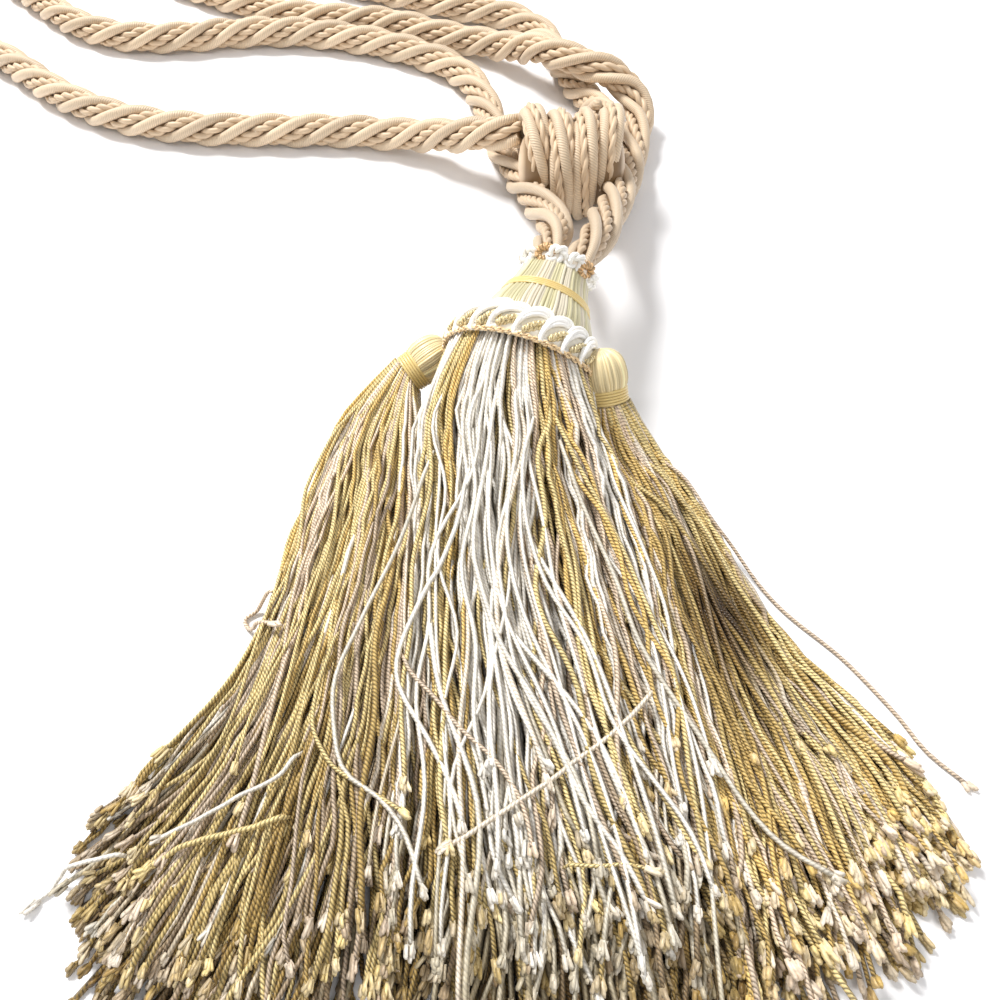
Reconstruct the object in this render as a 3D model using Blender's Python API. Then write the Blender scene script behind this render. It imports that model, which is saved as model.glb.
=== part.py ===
"""A curtain tieback tassel, laid on a table.

A gimp rope leaves the tassel's head as two legs, makes two loops and is gathered by a barrel knot.
The head is a bound bell on a ruff of gimp loops. Below it a full skirt of yarns fans out between
the skirts of two small tassels. Each small tassel hangs on the ruff by its own bound neck.

Places are drawn in millimetres: +X to the right, +Y from the skirt towards the rope, +Z up, with
the table at zero. CENTRE moves the middle of the tassel, without its rope, to the origin.
"""

import math
import random
from functools import partial

import bmesh
import bpy
from mathutils import Vector

MM = 0.001
CENTRE = Vector((3.6, 113.4, 0.0))
GAP = 0.3

# Rope: three thick strands with a thin beaded one in each groove, laid left-handed.
ROPE_CREST = 6.0
ROPE_VALLEY = 4.3
ROPE_PITCH = 48.0
ROPE_STEP = 5.6
ROPE_STRANDS = 3
ROPE_TAPER = 26.0
ROPE_ENTRY = 0.62

# Routes of the two rope ends, each from the tassel's head to the knot.
LEFT_ROUTE = (
    (11.0, 202.56, 31.58),
    (12.39, 206.39, 33.11),
    (13.7, 213.8, 31.6),
    (15.2, 223.5, 27.6),
    (15.5, 236.5, 22.4),
    (12.3, 256.0, 15.4),
    (8.1, 275.0, 9.2),
    (4.2, 291.0, 6.4),
    (-1.8, 309.0, 6.0),
    (-4.5, 324.2, 6.0),
    (-10.7, 344.4, 6.0),
    (-21.2, 358.5, 6.0),
    (-40.4, 370.7, 6.0),
    (-60.3, 378.6, 6.0),
    (-82.0, 383.2, 6.0),
    (-106.6, 383.0, 6.0),
    (-130.0, 379.2, 6.0),
    (-152.0, 380.0, 6.0),
    (-172.0, 388.8, 6.0),
    (-188.0, 403.0, 6.0),
    (-205.0, 420.0, 6.0),
    (-224.0, 438.0, 6.0),
    (-247.0, 450.0, 6.0),
    (-270.0, 448.0, 6.0),
    (-285.0, 432.0, 6.0),
    (-284.0, 411.0, 6.0),
    (-266.0, 397.0, 6.0),
    (-242.0, 388.0, 6.0),
    (-216.0, 377.0, 6.0),
    (-192.9, 360.7, 6.0),
    (-165.5, 336.0, 6.0),
    (-140.0, 320.8, 6.0),
    (-112.3, 313.6, 6.0),
    (-84.0, 312.2, 6.0),
    (-56.0, 311.6, 6.0),
    (-32.0, 305.8, 8.0),
    (-14.5, 295.0, 14.5),
    (-1.0, 289.0, 19.4),
    (7.6, 287.9, 20.2),
)
RIGHT_ROUTE = (
    (19.27, 199.55, 31.58),
    (20.66, 203.38, 33.11),
    (24.2, 212.2, 31.0),
    (28.9, 226.5, 26.4),
    (32.8, 241.5, 21.4),
    (37.4, 258.5, 15.4),
    (41.6, 275.9, 9.6),
    (45.2, 290.3, 6.6),
    (47.6, 304.0, 6.0),
    (50.6, 318.0, 7.6),
    (47.4, 327.5, 13.0),
    (38.6, 331.4, 17.8),
    (27.6, 337.0, 18.8),
    (16.0, 348.2, 17.0),
    (4.8, 362.2, 10.6),
    (-9.6, 374.6, 6.6),
    (-25.4, 381.9, 6.0),
    (-44.0, 390.8, 6.0),
    (-66.0, 394.6, 6.0),
    (-92.0, 400.0, 6.0),
    (-120.0, 414.5, 6.0),
    (-144.0, 430.0, 6.0),
    (-166.0, 447.0, 6.0),
    (-185.0, 467.0, 6.0),
    (-190.0, 490.0, 6.0),
    (-175.0, 506.0, 6.0),
    (-153.0, 504.0, 6.0),
    (-137.0, 487.0, 6.0),
    (-122.0, 466.0, 6.0),
    (-100.0, 447.0, 6.0),
    (-66.0, 427.0, 6.0),
    (-20.0, 406.0, 6.0),
    (3.0, 397.0, 6.0),
    (16.4, 383.0, 6.0),
    (22.6, 364.0, 6.0),
    (28.0, 346.0, 6.0),
    (33.6, 330.0, 6.4),
    (35.8, 316.0, 10.6),
    (35.6, 305.0, 16.0),
    (34.2, 298.4, 19.2),
)

# Barrel knot: turns about an axis along X, fanned out at the top and flat underneath.
KNOT_MIDDLE = Vector((23.5, 275.0, 15.9))
KNOT_RADIUS = 18.0
KNOT_HALF_WIDTH = 13.0
KNOT_FAN = 6.0
KNOT_FAN_ANGLE = math.radians(45)
KNOT_TURNS = 4
KNOT_TURN_DEPTH = 0.15
KNOT_END_RADIUS = 8.0
KNOT_END_SHIFT = Vector((0.0, 11.0, 3.6))
KNOT_AROUND = 24
KNOT_ALONG = 25

# Head: a bound bell whose foot is held in the ruff. It leans to the right and its top is raised.
HEAD_FOOT = Vector((8.2, 182.0, 24.0))
HEAD_YAW = math.radians(20)
HEAD_RISE = math.radians(20.5)
HEAD_PROFILE = ((-1.4, 14.6), (5.0, 15.0), (12.0, 12.1), (17.0, 10.2), (20.2, 9.4), (21.0, 8.9))
HEAD_SIDES = 30
BAND_FROM, BAND_TO = 10.9, 13.1
BAND_THICK = 0.7

# Ruff of gimp loops at the head's foot, and the smaller one at its top.
# Each section is a row of points: station along the head, radius, height added over each loop.
RUFF_SECTION = (
    (5.0, 15.4, 0.0),
    (-7.6, 20.8, 0.0),
    (-8.0, 21.8, 0.2),
    (-2.6, 23.5, 0.9),
    (3.8, 20.4, 1.2),
)
COLLAR_SECTION = ((23.8, 8.8, 0.0), (21.3, 8.7, 0.0), (21.3, 9.8, 0.4), (23.6, 10.2, 0.8))
RUFF_LOOPS = 26
COLLAR_LOOPS = 14
LOOP_COLUMNS = 3

# Skirt: rows of strands over each other, from a round backing in the ruff to the fan's flat end.
# SKIRT_BACK gives the backing's station and radius behind the strands' roots.
SKIRT_RADIUS = 19.9
SKIRT_START = -7.6
SKIRT_BACK = ((4.0, 18.4), (5.8, 14.0))
SKIRT_ROWS, SKIRT_COLUMNS = 4, 18
SMALL_ROWS, SMALL_COLUMNS = 3, 15
STRAND_SHARE = 0.72
ROW_SHARE = 0.80
FAN_GAP = 1.2
END_JITTER = 0.035

# The fan: one row for each section across it, at a share of the strands' length.
# share, left outline x y, left divide x y, right divide x y, right outline x y
FAN = (
    (0.10, -41.0, 168.0, -21.0, 160.0, 24.6, 153.5, 42.0, 152.0),
    (0.28, -48.5, 146.0, -19.0, 137.0, 31.5, 137.0, 48.5, 145.0),
    (0.48, -52.0, 121.5, -19.5, 109.0, 37.0, 109.0, 58.0, 122.0),
    (0.68, -59.0, 95.5, -20.0, 82.0, 40.5, 82.0, 70.0, 99.0),
    (0.86, -74.0, 74.0, -20.5, 52.0, 44.0, 52.0, 85.0, 80.0),
    (1.00, -86.0, 60.0, -21.0, 24.0, 45.5, 26.0, 94.0, 60.0),
)
# share, height of the skirt's middle, of its sides, of the small skirts' inner and outer sides,
# and the bow of the left, middle and right section
PILE = (
    (0.10, 35.0, 24.0, 16.0, 12.0, 0.0, 0.0, 0.0),
    (0.28, 27.0, 19.5, 15.5, 9.5, 1.0, 0.0, 1.0),
    (0.48, 20.5, 16.0, 14.0, 7.5, 4.0, 1.0, 2.0),
    (0.68, 15.5, 13.2, 12.2, 6.5, 9.0, 3.0, 3.0),
    (0.86, 13.0, 11.8, 11.0, 5.5, 16.0, 5.0, 4.0),
    (1.00, 11.6, 10.8, 10.0, 5.0, 22.0, 7.0, 6.0),
)
# How far along the fan each row ends, from the row on the table to the top one.
SKIRT_ENDS = (0.985, 0.965, 0.91, 0.84)
SMALL_ENDS = (0.985, 0.955, 0.91)

# Small tassels: the neck's lower end, the way the head points up from it, and its level side.
SMALL_LEFT = (Vector((-25.2, 181.4, 13.4)), Vector((0.82, 0.44, 0.37)), Vector((0.94, -0.34, 0)))
SMALL_RIGHT = (Vector((30.4, 160.9, 20.0)), Vector((-0.10, 0.22, 0.97)), Vector((0.97, 0.24, 0)))
SMALL_RADIUS = 5.4
SMALL_PROFILE = ((1.0, 4.9), (3.6, 4.9), (4.4, 5.5), (7.6, 5.6), (10.2, 4.4), (11.4, 2.4))
SMALL_SIDES = 18
SMALL_CROWN = 1.5
SMALL_BAND = (1.3, 3.3)

# Materials: colour, roughness
ROPE_LOOK = ((0.70, 0.54, 0.36), 0.45)
CREAM_LOOK = ((0.80, 0.76, 0.55), 0.35)
GOLD_LOOK = ((0.70, 0.50, 0.16), 0.35)
GIMP_LOOK = ((0.82, 0.76, 0.64), 0.50)
SKIRT_LOOK = ((0.68, 0.58, 0.42), 0.50)
SMALL_LOOK = ((0.55, 0.42, 0.20), 0.45)


def clear_scene():
    for item in list(bpy.data.objects):
        bpy.data.objects.remove(item, do_unlink=True)


def material(name, look):
    colour, roughness = look
    made = bpy.data.materials.new(name)
    made.use_nodes = True
    shader = made.node_tree.nodes["Principled BSDF"]
    shader.inputs["Base Color"].default_value = (*colour, 1.0)
    shader.inputs["Roughness"].default_value = roughness
    return made


def add_object(name, mesh_work, look):
    """Moves a finished bmesh, drawn in millimetres, to the part's frame as an object."""
    for vertex in mesh_work.verts:
        vertex.co = (vertex.co - CENTRE) * MM
    bmesh.ops.recalc_face_normals(mesh_work, faces=mesh_work.faces[:])
    mesh = bpy.data.meshes.new(name)
    mesh_work.to_mesh(mesh)
    mesh_work.free()
    mesh.materials.append(material(name, look))
    mesh.shade_smooth()
    made = bpy.data.objects.new(name, mesh)
    bpy.context.scene.collection.objects.link(made)
    return made


def axes_of(direction, side):
    """A right and an up direction across an axis, with right as near to side as can be."""
    along = direction.normalized()
    right = (side - along * side.dot(along)).normalized()
    return right, right.cross(along).normalized(), along


def head_frame():
    level = math.cos(HEAD_RISE)
    along = Vector((math.sin(HEAD_YAW) * level, math.cos(HEAD_YAW) * level, math.sin(HEAD_RISE)))
    return axes_of(along, Vector((math.cos(HEAD_YAW), -math.sin(HEAD_YAW), 0.0)))


def lathe_point(foot, frame, station, radius, angle):
    right, up, along = frame
    return foot + along * station + (right * math.cos(angle) + up * math.sin(angle)) * radius


# ---- Rope ----


def smooth_route(points, step):
    """Points a step apart on a Catmull-Rom curve through the route."""
    places = [Vector(p) for p in points]
    places = [places[0] * 2 - places[1], *places, places[-1] * 2 - places[-2]]
    fine = []
    for a, b, c, d in zip(places, places[1:], places[2:], places[3:]):
        for i in range(24):
            t = i / 24
            fine.append(
                0.5
                * (
                    2 * b
                    + (c - a) * t
                    + (2 * a - 5 * b + 4 * c - d) * t * t
                    + (3 * b - a - 3 * c + d) * t * t * t
                )
            )
    fine.append(places[-2])
    along = [0.0]
    for a, b in zip(fine, fine[1:]):
        along.append(along[-1] + (b - a).length)
    count = max(2, round(along[-1] / step))
    spaced, k = [], 0
    for i in range(count + 1):
        target = along[-1] * i / count
        while k < len(along) - 2 and along[k + 1] < target:
            k += 1
        share = (target - along[k]) / (along[k + 1] - along[k])
        spaced.append(fine[k].lerp(fine[k + 1], share))
    return spaced, along[-1]


def rope_section(angle, size):
    """Radius and angle of each point round the rope: a crest on each thick strand."""
    points = []
    for i in range(2 * ROPE_STRANDS):
        radius = ROPE_CREST if i % 2 == 0 else ROPE_VALLEY
        points.append((radius * size, angle + math.pi * i / ROPE_STRANDS))
    return points


def make_rope(name, route):
    places, length = smooth_route(route, ROPE_STEP)
    tube = bmesh.new()
    rings = []
    across = None
    for i, place in enumerate(places):
        before, after = places[max(i - 1, 0)], places[min(i + 1, len(places) - 1)]
        tangent = (after - before).normalized()
        if across is None:
            across = tangent.cross(Vector((0.0, 0.0, 1.0))).normalized()
        across = (across - tangent * across.dot(tangent)).normalized()
        other = tangent.cross(across)
        travelled = length * i / (len(places) - 1)
        size = ROPE_ENTRY + (1 - ROPE_ENTRY) * min(1.0, travelled / ROPE_TAPER)
        twist = -2 * math.pi * travelled / ROPE_PITCH
        ring = []
        for radius, angle in rope_section(twist, size):
            spot = place + (across * math.cos(angle) + other * math.sin(angle)) * radius
            spot.z = max(spot.z, 0.0)
            ring.append(tube.verts.new(spot))
        rings.append(ring)
    for ring, following in zip(rings, rings[1:]):
        join_rings(tube, ring, following)
    tube.faces.new(rings[0])
    tube.faces.new(rings[-1])
    return add_object(name, tube, ROPE_LOOK)


def join_rings(mesh_work, ring, following):
    count = len(ring)
    for i in range(count):
        j = (i + 1) % count
        mesh_work.faces.new((ring[i], ring[j], following[j], following[i]))


# ---- Knot ----


def knot_point(share, angle):
    """A point on the knot: share runs from -1 at its left end to 1, angle is 0 at the far side."""
    barrel = 1 - (1 - KNOT_END_RADIUS / KNOT_RADIUS) * abs(share) ** 5
    phase = math.pi * KNOT_TURNS * (share + 1) - angle
    depth = KNOT_TURN_DEPTH * (0.6 + 0.4 * math.sin(angle))
    ridge = 1 - depth * (0.5 - 0.5 * math.cos(phase)) * (1 - share * share)
    radius = KNOT_RADIUS * barrel * ridge
    width = KNOT_HALF_WIDTH + KNOT_FAN * math.cos(angle - KNOT_FAN_ANGLE) * barrel
    spot = KNOT_MIDDLE + KNOT_END_SHIFT * (share * share)
    spot += Vector((share * width, radius * math.cos(angle), radius * math.sin(angle)))
    spot.z = max(spot.z, 0.0)
    return spot


def make_knot():
    barrel = bmesh.new()
    rings = []
    for i in range(KNOT_ALONG + 1):
        share = 2 * i / KNOT_ALONG - 1
        angles = [2 * math.pi * j / KNOT_AROUND for j in range(KNOT_AROUND)]
        rings.append([barrel.verts.new(knot_point(share, angle)) for angle in angles])
    for ring, following in zip(rings, rings[1:]):
        join_rings(barrel, ring, following)
    barrel.faces.new(rings[0])
    barrel.faces.new(rings[-1])
    return add_object("knot", barrel, ROPE_LOOK)


# ---- Head, bands and ruffs ----


def make_lathed(name, look, foot, frame, profile, sides):
    """A solid turned about an axis, closed by flat ends."""
    turned = bmesh.new()
    rings = []
    for station, radius in profile:
        angles = [2 * math.pi * i / sides for i in range(sides)]
        points = [lathe_point(foot, frame, station, radius, angle) for angle in angles]
        rings.append([turned.verts.new(point) for point in points])
    for ring, following in zip(rings, rings[1:]):
        join_rings(turned, ring, following)
    turned.faces.new(rings[0])
    turned.faces.new(rings[-1])
    return add_object(name, turned, look)


def make_ring(name, look, foot, frame, section_at, columns):
    """A closed ring: section_at gives the section's points (station, radius) at each angle."""
    ring_work = bmesh.new()
    rings = []
    for i in range(columns):
        angle = 2 * math.pi * i / columns
        points = [lathe_point(foot, frame, s, r, angle) for s, r in section_at(i)]
        rings.append([ring_work.verts.new(point) for point in points])
    for ring, following in zip(rings, [*rings[1:], rings[0]]):
        join_rings(ring_work, ring, following)
    return add_object(name, ring_work, look)


def radius_at(profile, station):
    """The radius of a turned profile at a station along its axis."""
    for (s0, r0), (s1, r1) in zip(profile, profile[1:]):
        if s0 <= station <= s1:
            return r0 + (r1 - r0) * (station - s0) / (s1 - s0)
    return profile[-1][1] if station > profile[-1][0] else profile[0][1]


def band_section(profile, start, end):
    """A thin band that lies round a turned profile, a gap clear of it."""
    inner = [(s, radius_at(profile, s) + GAP) for s in (start, end)]
    outer = [(s, r + BAND_THICK) for s, r in reversed(inner)]
    return [*inner, *outer]


def ruff_section(section, column):
    """A section of a ring of gimp loops, lower where two loops meet."""
    raised = 1.0 if column % LOOP_COLUMNS else 0.0
    return [(station, radius + height * raised) for station, radius, height in section]


def make_head():
    frame = head_frame()
    make_lathed("tassel_head", CREAM_LOOK, HEAD_FOOT, frame, HEAD_PROFILE, HEAD_SIDES)
    band = band_section(HEAD_PROFILE, BAND_FROM, BAND_TO)
    make_ring("head_band", GOLD_LOOK, HEAD_FOOT, frame, lambda i: band, HEAD_SIDES)
    for name, section, loops in (
        ("gimp_ring", RUFF_SECTION, RUFF_LOOPS),
        ("top_collar", COLLAR_SECTION, COLLAR_LOOPS),
    ):
        section_at = partial(ruff_section, section)
        make_ring(name, GIMP_LOOK, HEAD_FOOT, frame, section_at, loops * LOOP_COLUMNS)


# ---- Skirts ----


def between(table, share):
    """The row of a table at a share of the length, worked out between its two nearest rows."""
    for low, high in zip(table, table[1:]):
        if share <= high[0]:
            t = (share - low[0]) / (high[0] - low[0])
            return [a + (b - a) * t for a, b in zip(low, high)]
    return list(table[-1])


def rounded(across, over):
    """A place in the unit square as a place in a nearly round one, of radius 1."""
    x, y = 2 * across - 1, 2 * over - 1
    return 0.9 * x * math.sqrt(1 - 0.36 * y * y), 0.9 * y * math.sqrt(1 - 0.36 * x * x)


class Fan:
    """The space that one skirt fills, from a round root to a flat end.

    across runs from 0 at its left side to 1, over from 0 at the table to 1 at its top, and
    share from 0 at the root to 1 at the strands' ends.
    """

    def __init__(self, root, frame, radius, side, floor_over):
        self.root, self.frame, self.radius = root, frame, radius
        self.side, self.floor_over = side, floor_over

    def root_spot(self, across, over):
        x, y = rounded(across, over)
        right, up, _ = self.frame
        return self.root + (right * x + up * y) * self.radius

    def edges(self, share):
        """The left and right end of a section, its two heights, its crown and its bow."""
        _, lx, ly, dx, dy, ex, ey, rx, ry = between(FAN, share)
        _, middle, sides, inner, outer, *bows = between(PILE, share)
        gap = FAN_GAP / 2
        if self.side == "left":
            return (lx, ly), (dx - gap, dy), (outer, inner), SMALL_CROWN, bows[0]
        if self.side == "right":
            return (ex + gap, ey), (rx, ry), (inner, outer), SMALL_CROWN, bows[2]
        return (dx + gap, dy), (ex - gap, ey), (sides, sides), middle - sides, bows[1]

    def spot(self, across, over, share):
        if share <= 0:
            return self.root_spot(across, over)
        (ax, ay), (bx, by), (ha, hb), crown, bow = self.edges(share)
        swell = 4 * across * (1 - across)
        length = math.hypot(bx - ax, by - ay)
        x = ax + (bx - ax) * across + bow * swell * (by - ay) / length
        y = ay + (by - ay) * across - bow * swell * (bx - ax) / length
        height = ha + (hb - ha) * across + crown * swell
        level = (over - self.floor_over) / (1 - self.floor_over)
        return Vector((x, y, height * max(level, 0.0)))


def cell_lines(count, share):
    """The lines of a grid that bound each strand's cell, with a gap between the cells."""
    lines = [0.0]
    for i in range(count):
        lines += [(i + 0.5 - share / 2) / count, (i + 0.5 + share / 2) / count]
    return [*lines, 1.0]


def strand_cells(columns, rows):
    """The grid squares (column, row) that strands grow from."""
    return [(2 * i + 1, 2 * k + 1) for k in range(rows) for i in range(columns)]


def grow_strand(mesh_work, fan, corners, places, shares):
    """Extrudes one cell of the root along the fan, and closes its end.

    Opposite walls are split along parallel diagonals, so that twisted neighbours stay clear.
    """
    ring = corners
    for share in shares:
        following = [mesh_work.verts.new(fan.spot(u, w, share)) for u, w in places]
        for i, j in ((0, 1), (1, 2)):
            mesh_work.faces.new((ring[i], ring[j], following[j], following[i]))
        for i, j in ((2, 3), (3, 0)):
            mesh_work.faces.new((ring[j], following[j], following[i], ring[i]))
        ring = following
    mesh_work.faces.new(ring)


def rim_of(grid):
    """The outer loop of a grid of vertices, in order."""
    top, right = grid[-1], [row[-1] for row in grid]
    left = [row[0] for row in grid]
    return [*grid[0][:-1], *right[:-1], *reversed(top[1:]), *reversed(left[1:])]


def stitch(mesh_work, fan, outer, inner):
    """Joins two loops round the fan's axis that have different numbers of points."""
    right, up, _ = fan.frame

    def turn(vertex):
        off = vertex.co - fan.root
        return math.atan2(off.dot(up), off.dot(right))

    start = turn(outer[0])
    shift = min(range(len(inner)), key=lambda i: abs(math.remainder(turn(inner[i]) - start, math.tau)))
    inner = inner[shift:] + inner[:shift]

    def unrolled(loop):
        angles = [math.remainder(turn(v) - start, math.tau) for v in loop]
        for i in range(1, len(angles)):
            while angles[i] < angles[i - 1]:
                angles[i] += math.tau
        return [*angles, angles[0] + math.tau]

    a, b = unrolled(outer), unrolled(inner)
    i = j = 0
    while i < len(outer) or j < len(inner):
        p, q = outer[i % len(outer)], inner[j % len(inner)]
        if j == len(inner) or (i < len(outer) and a[i + 1] <= b[j + 1]):
            mesh_work.faces.new((p, outer[(i + 1) % len(outer)], q))
            i += 1
        else:
            mesh_work.faces.new((p, inner[(j + 1) % len(inner)], q))
            j += 1


def make_skirt(name, look, fan, rows, columns, ends, back, sides, seed):
    """Strands that stand apart, grown from the front face of the backing that holds them."""
    work = bmesh.new()
    across = cell_lines(columns, STRAND_SHARE)
    over = cell_lines(rows, ROW_SHARE)
    grid = [[work.verts.new(fan.root_spot(u, w)) for u in across] for w in over]
    cells = set(strand_cells(columns, rows))
    draw = random.Random(seed)
    for k in range(len(over) - 1):
        for i in range(len(across) - 1):
            corners = [grid[k][i], grid[k][i + 1], grid[k + 1][i + 1], grid[k + 1][i]]
            if (i, k) not in cells:
                work.faces.new(corners)
                continue
            places = [(across[i], over[k]), (across[i + 1], over[k])]
            places += [(across[i + 1], over[k + 1]), (across[i], over[k + 1])]
            end = ends[k // 2] + draw.uniform(-END_JITTER, END_JITTER) / 2
            shares = [row[0] for row in FAN if row[0] < end - 0.03]
            grow_strand(work, fan, corners, places, [*shares, end])
    rings = []
    for station, radius in back:
        angles = [2 * math.pi * i / sides for i in range(sides)]
        points = [lathe_point(fan.root, fan.frame, station, radius, angle) for angle in angles]
        rings.append([work.verts.new(point) for point in points])
    stitch(work, fan, rim_of(grid), rings[0])
    for ring, following in zip(rings, rings[1:]):
        join_rings(work, ring, following)
    work.faces.new(rings[-1])
    return add_object(name, work, look)


def floor_line(rows):
    """How far over the grid the lowest row of strands starts."""
    return cell_lines(rows, ROW_SHARE)[1]


def make_main_skirt():
    frame = head_frame()
    root = HEAD_FOOT + frame[2] * SKIRT_START
    fan = Fan(root, frame, SKIRT_RADIUS, "middle", floor_line(SKIRT_ROWS))
    counts = (SKIRT_ROWS, SKIRT_COLUMNS)
    make_skirt("skirt", SKIRT_LOOK, fan, *counts, SKIRT_ENDS, SKIRT_BACK, 40, seed=1)


def make_small_tassel(side, neck, direction, level, seed):
    frame = axes_of(direction, level)
    fan = Fan(neck, frame, SMALL_RADIUS, side, floor_line(SMALL_ROWS))
    counts = (SMALL_ROWS, SMALL_COLUMNS)
    name = f"small_tassel_{side}"
    make_skirt(name, SMALL_LOOK, fan, *counts, SMALL_ENDS, SMALL_PROFILE, SMALL_SIDES, seed)
    band = band_section(SMALL_PROFILE, *SMALL_BAND)
    make_ring(f"small_band_{side}", GOLD_LOOK, neck, frame, lambda i: band, SMALL_SIDES)


def main():
    clear_scene()
    make_rope("rope_left", LEFT_ROUTE)
    make_rope("rope_right", RIGHT_ROUTE)
    make_knot()
    make_head()
    make_main_skirt()
    make_small_tassel("left", *SMALL_LEFT, seed=2)
    make_small_tassel("right", *SMALL_RIGHT, seed=3)


main()
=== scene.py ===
"""The dressed scene of a curtain tieback tassel that lies on a pale surface.

Places are drawn in millimetres, as the CAD model's are: +X to the right, +Y from the skirt towards
the rope, +Z up, with the surface at zero. to_part moves them to the part's frame in metres.
"""

import math

import bpy
import numpy as np
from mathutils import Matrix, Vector


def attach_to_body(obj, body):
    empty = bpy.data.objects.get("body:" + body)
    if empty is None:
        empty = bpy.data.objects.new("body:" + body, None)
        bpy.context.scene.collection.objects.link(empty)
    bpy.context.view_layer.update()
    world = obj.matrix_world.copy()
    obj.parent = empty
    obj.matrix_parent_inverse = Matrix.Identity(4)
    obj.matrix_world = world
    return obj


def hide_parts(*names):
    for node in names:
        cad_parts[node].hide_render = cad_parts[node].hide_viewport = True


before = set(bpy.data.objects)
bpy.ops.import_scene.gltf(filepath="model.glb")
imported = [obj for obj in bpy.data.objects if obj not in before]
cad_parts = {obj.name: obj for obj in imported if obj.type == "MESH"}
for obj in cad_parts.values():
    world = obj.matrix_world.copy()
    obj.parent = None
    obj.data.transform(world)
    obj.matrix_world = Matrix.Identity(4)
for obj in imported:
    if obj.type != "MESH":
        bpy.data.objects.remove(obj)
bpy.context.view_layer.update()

MM = 0.001
CENTRE = np.array((3.6, 113.4, 0.0))
UP = np.array((0.0, 0.0, 1.0))

# Camera: place in the drawing, pitch from straight down, and focal length in pixels of the image.
CAMERA_PLACE = (0.0, 0.0, 197.5)
CAMERA_TILT = math.radians(37)
CAMERA_FOCAL, IMAGE_SIDE = 940.0, 1000.0
# Studio, in metres: how far the floor reaches, and each light's name, place, aim, size and power.
FLOOR_REACH = 3.0
LIGHTS = (
    ("key", (-0.75, 0.75, 1.25), (0.0, 0.0, 0.0), 0.55, 36.0),
    ("fill", (0.5, -0.9, 1.2), (0.0, 0.05, 0.0), 1.2, 7.0),
)
SKY_COLOUR, SKY_STRENGTH = (0.98, 0.98, 1.0, 1.0), 0.54

# Rope: a core, dark with painted shade, three ribbed gimp strands, and a cord of two shiny plies in
# each groove.
ROPE_DIAMETER, ROPE_PITCH = 12.0, 48.0
# Where it enters the head the rope is thinner, by this share of its size, and grows over its taper.
ROPE_TAPER, ROPE_ENTRY = 26.0, 0.62
# Each lay: the core's radius, the gimps' radius and distance, the plies' radius and distance in
# their cord, and the cord's distance.
LOOSE_LAY = (3.2, 1.8, 4.2, 1.02, 0.68, 3.5)
TIGHT_LAY = (1.6, 1.75, 2.65, 0.85, 0.5, 2.9)
PLY_PITCH, PLY_STEP, RIB_SPACING = 9.0, 1.0, 0.8
# The legs' twist is looser next to the head, and painted shade makes them a little darker.
LEG_LENGTH, LEG_PITCH, LEG_PAINTED_SHADE = 95.0, 92.0, 0.14

# Each rope's way from the head. Where a place has no height, the rope lies on the surface.
ROPE_REST = 6.0
LEFT_ROUTE = (
    (11, 202.56, 31.58), (12.39, 206.39, 33.11), (13.7, 213.8, 31.6), (15.2, 223.5, 27.6),
    (15.5, 236.5, 22.4), (12.3, 256, 15.4), (8.1, 275, 9.2), (4.2, 291, 6.4), (-1.8, 309),
    (-4.5, 324.2), (-10.7, 344.4), (-21.2, 358.5), (-40.4, 370.7), (-60.3, 378.6), (-82, 383.2),
    (-106.6, 383), (-130, 379.2), (-152, 380), (-172, 388.8), (-188, 403), (-205, 420), (-224, 438),
    (-247, 450), (-270, 448), (-285, 432), (-284, 411), (-266, 397), (-242, 388), (-216, 377),
    (-192.9, 360.7), (-165.5, 336), (-140, 320.8), (-112.3, 313.6), (-84, 312.2), (-56, 311.6),
    (-32, 305.8, 8), (-14.5, 295, 14.5), (-1, 289, 19.4), (7.6, 287.9, 20.2),
)
RIGHT_ROUTE = (
    (19.27, 199.55, 31.58), (20.66, 203.38, 33.11), (24.2, 212.2, 31), (28.9, 226.5, 26.4),
    (32.8, 241.5, 21.4), (37.4, 258.5, 15.4), (41.6, 275.9, 9.6), (45.2, 290.3, 6.6), (47.6, 304),
    (50.6, 318, 7.6), (47.4, 327.5, 13), (38.6, 331.4, 17.8), (27.6, 337, 18.8), (16, 348.2, 17),
    (4.8, 362.2, 10.6), (-9.6, 374.6, 6.6), (-25.4, 381.9), (-44, 390.8), (-66, 394.6), (-92, 400),
    (-120, 414.5), (-144, 430), (-166, 447), (-185, 467), (-190, 490), (-175, 506), (-153, 504),
    (-137, 487), (-122, 466), (-100, 447), (-66, 427), (-20, 406), (3, 397), (16.4, 383),
    (22.6, 364), (28, 346), (33.6, 330, 6.4), (35.8, 316, 10.6), (35.6, 305, 16),
    (34.2, 298.4, 19.2),
)

# Knot: one rope wound round a barrel, fanned out at the top.
KNOT_MIDDLE = np.array((23.5, 275.0, 15.9))
KNOT_RADIUS, KNOT_END_RADIUS = 18.0, 12.0
KNOT_HALF_WIDTH, KNOT_FAN, KNOT_FAN_ANGLE = 14.5, 3.0, math.radians(45)
KNOT_END_SHIFT = np.array((0.0, 7.0, 3.0))
KNOT_WRAPS, KNOT_OVERRUN, KNOT_SEEN_FROM = 4, 0.3, math.radians(30)
KNOT_PITCH, KNOT_SHARE = 120.0, 0.76
# The core inside the wraps, closed by a dome at each end: half its length, radius, and squareness.
CORE_HALF_LENGTH, CORE_RADIUS, CORE_SQUARENESS = 17.5, 12.0, 7

# Head: a bell of silk threads, bound near its top, with a ruff of loops at its foot.
HEAD_FOOT = np.array((8.2, 182.0, 24.0))
HEAD_YAW, HEAD_RISE = math.radians(20), math.radians(20.5)
HEAD_PROFILE = ((-1.4, 14.6), (5.0, 15.0), (12.0, 12.1), (17.0, 10.2), (20.2, 9.4), (21.0, 8.9))
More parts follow.
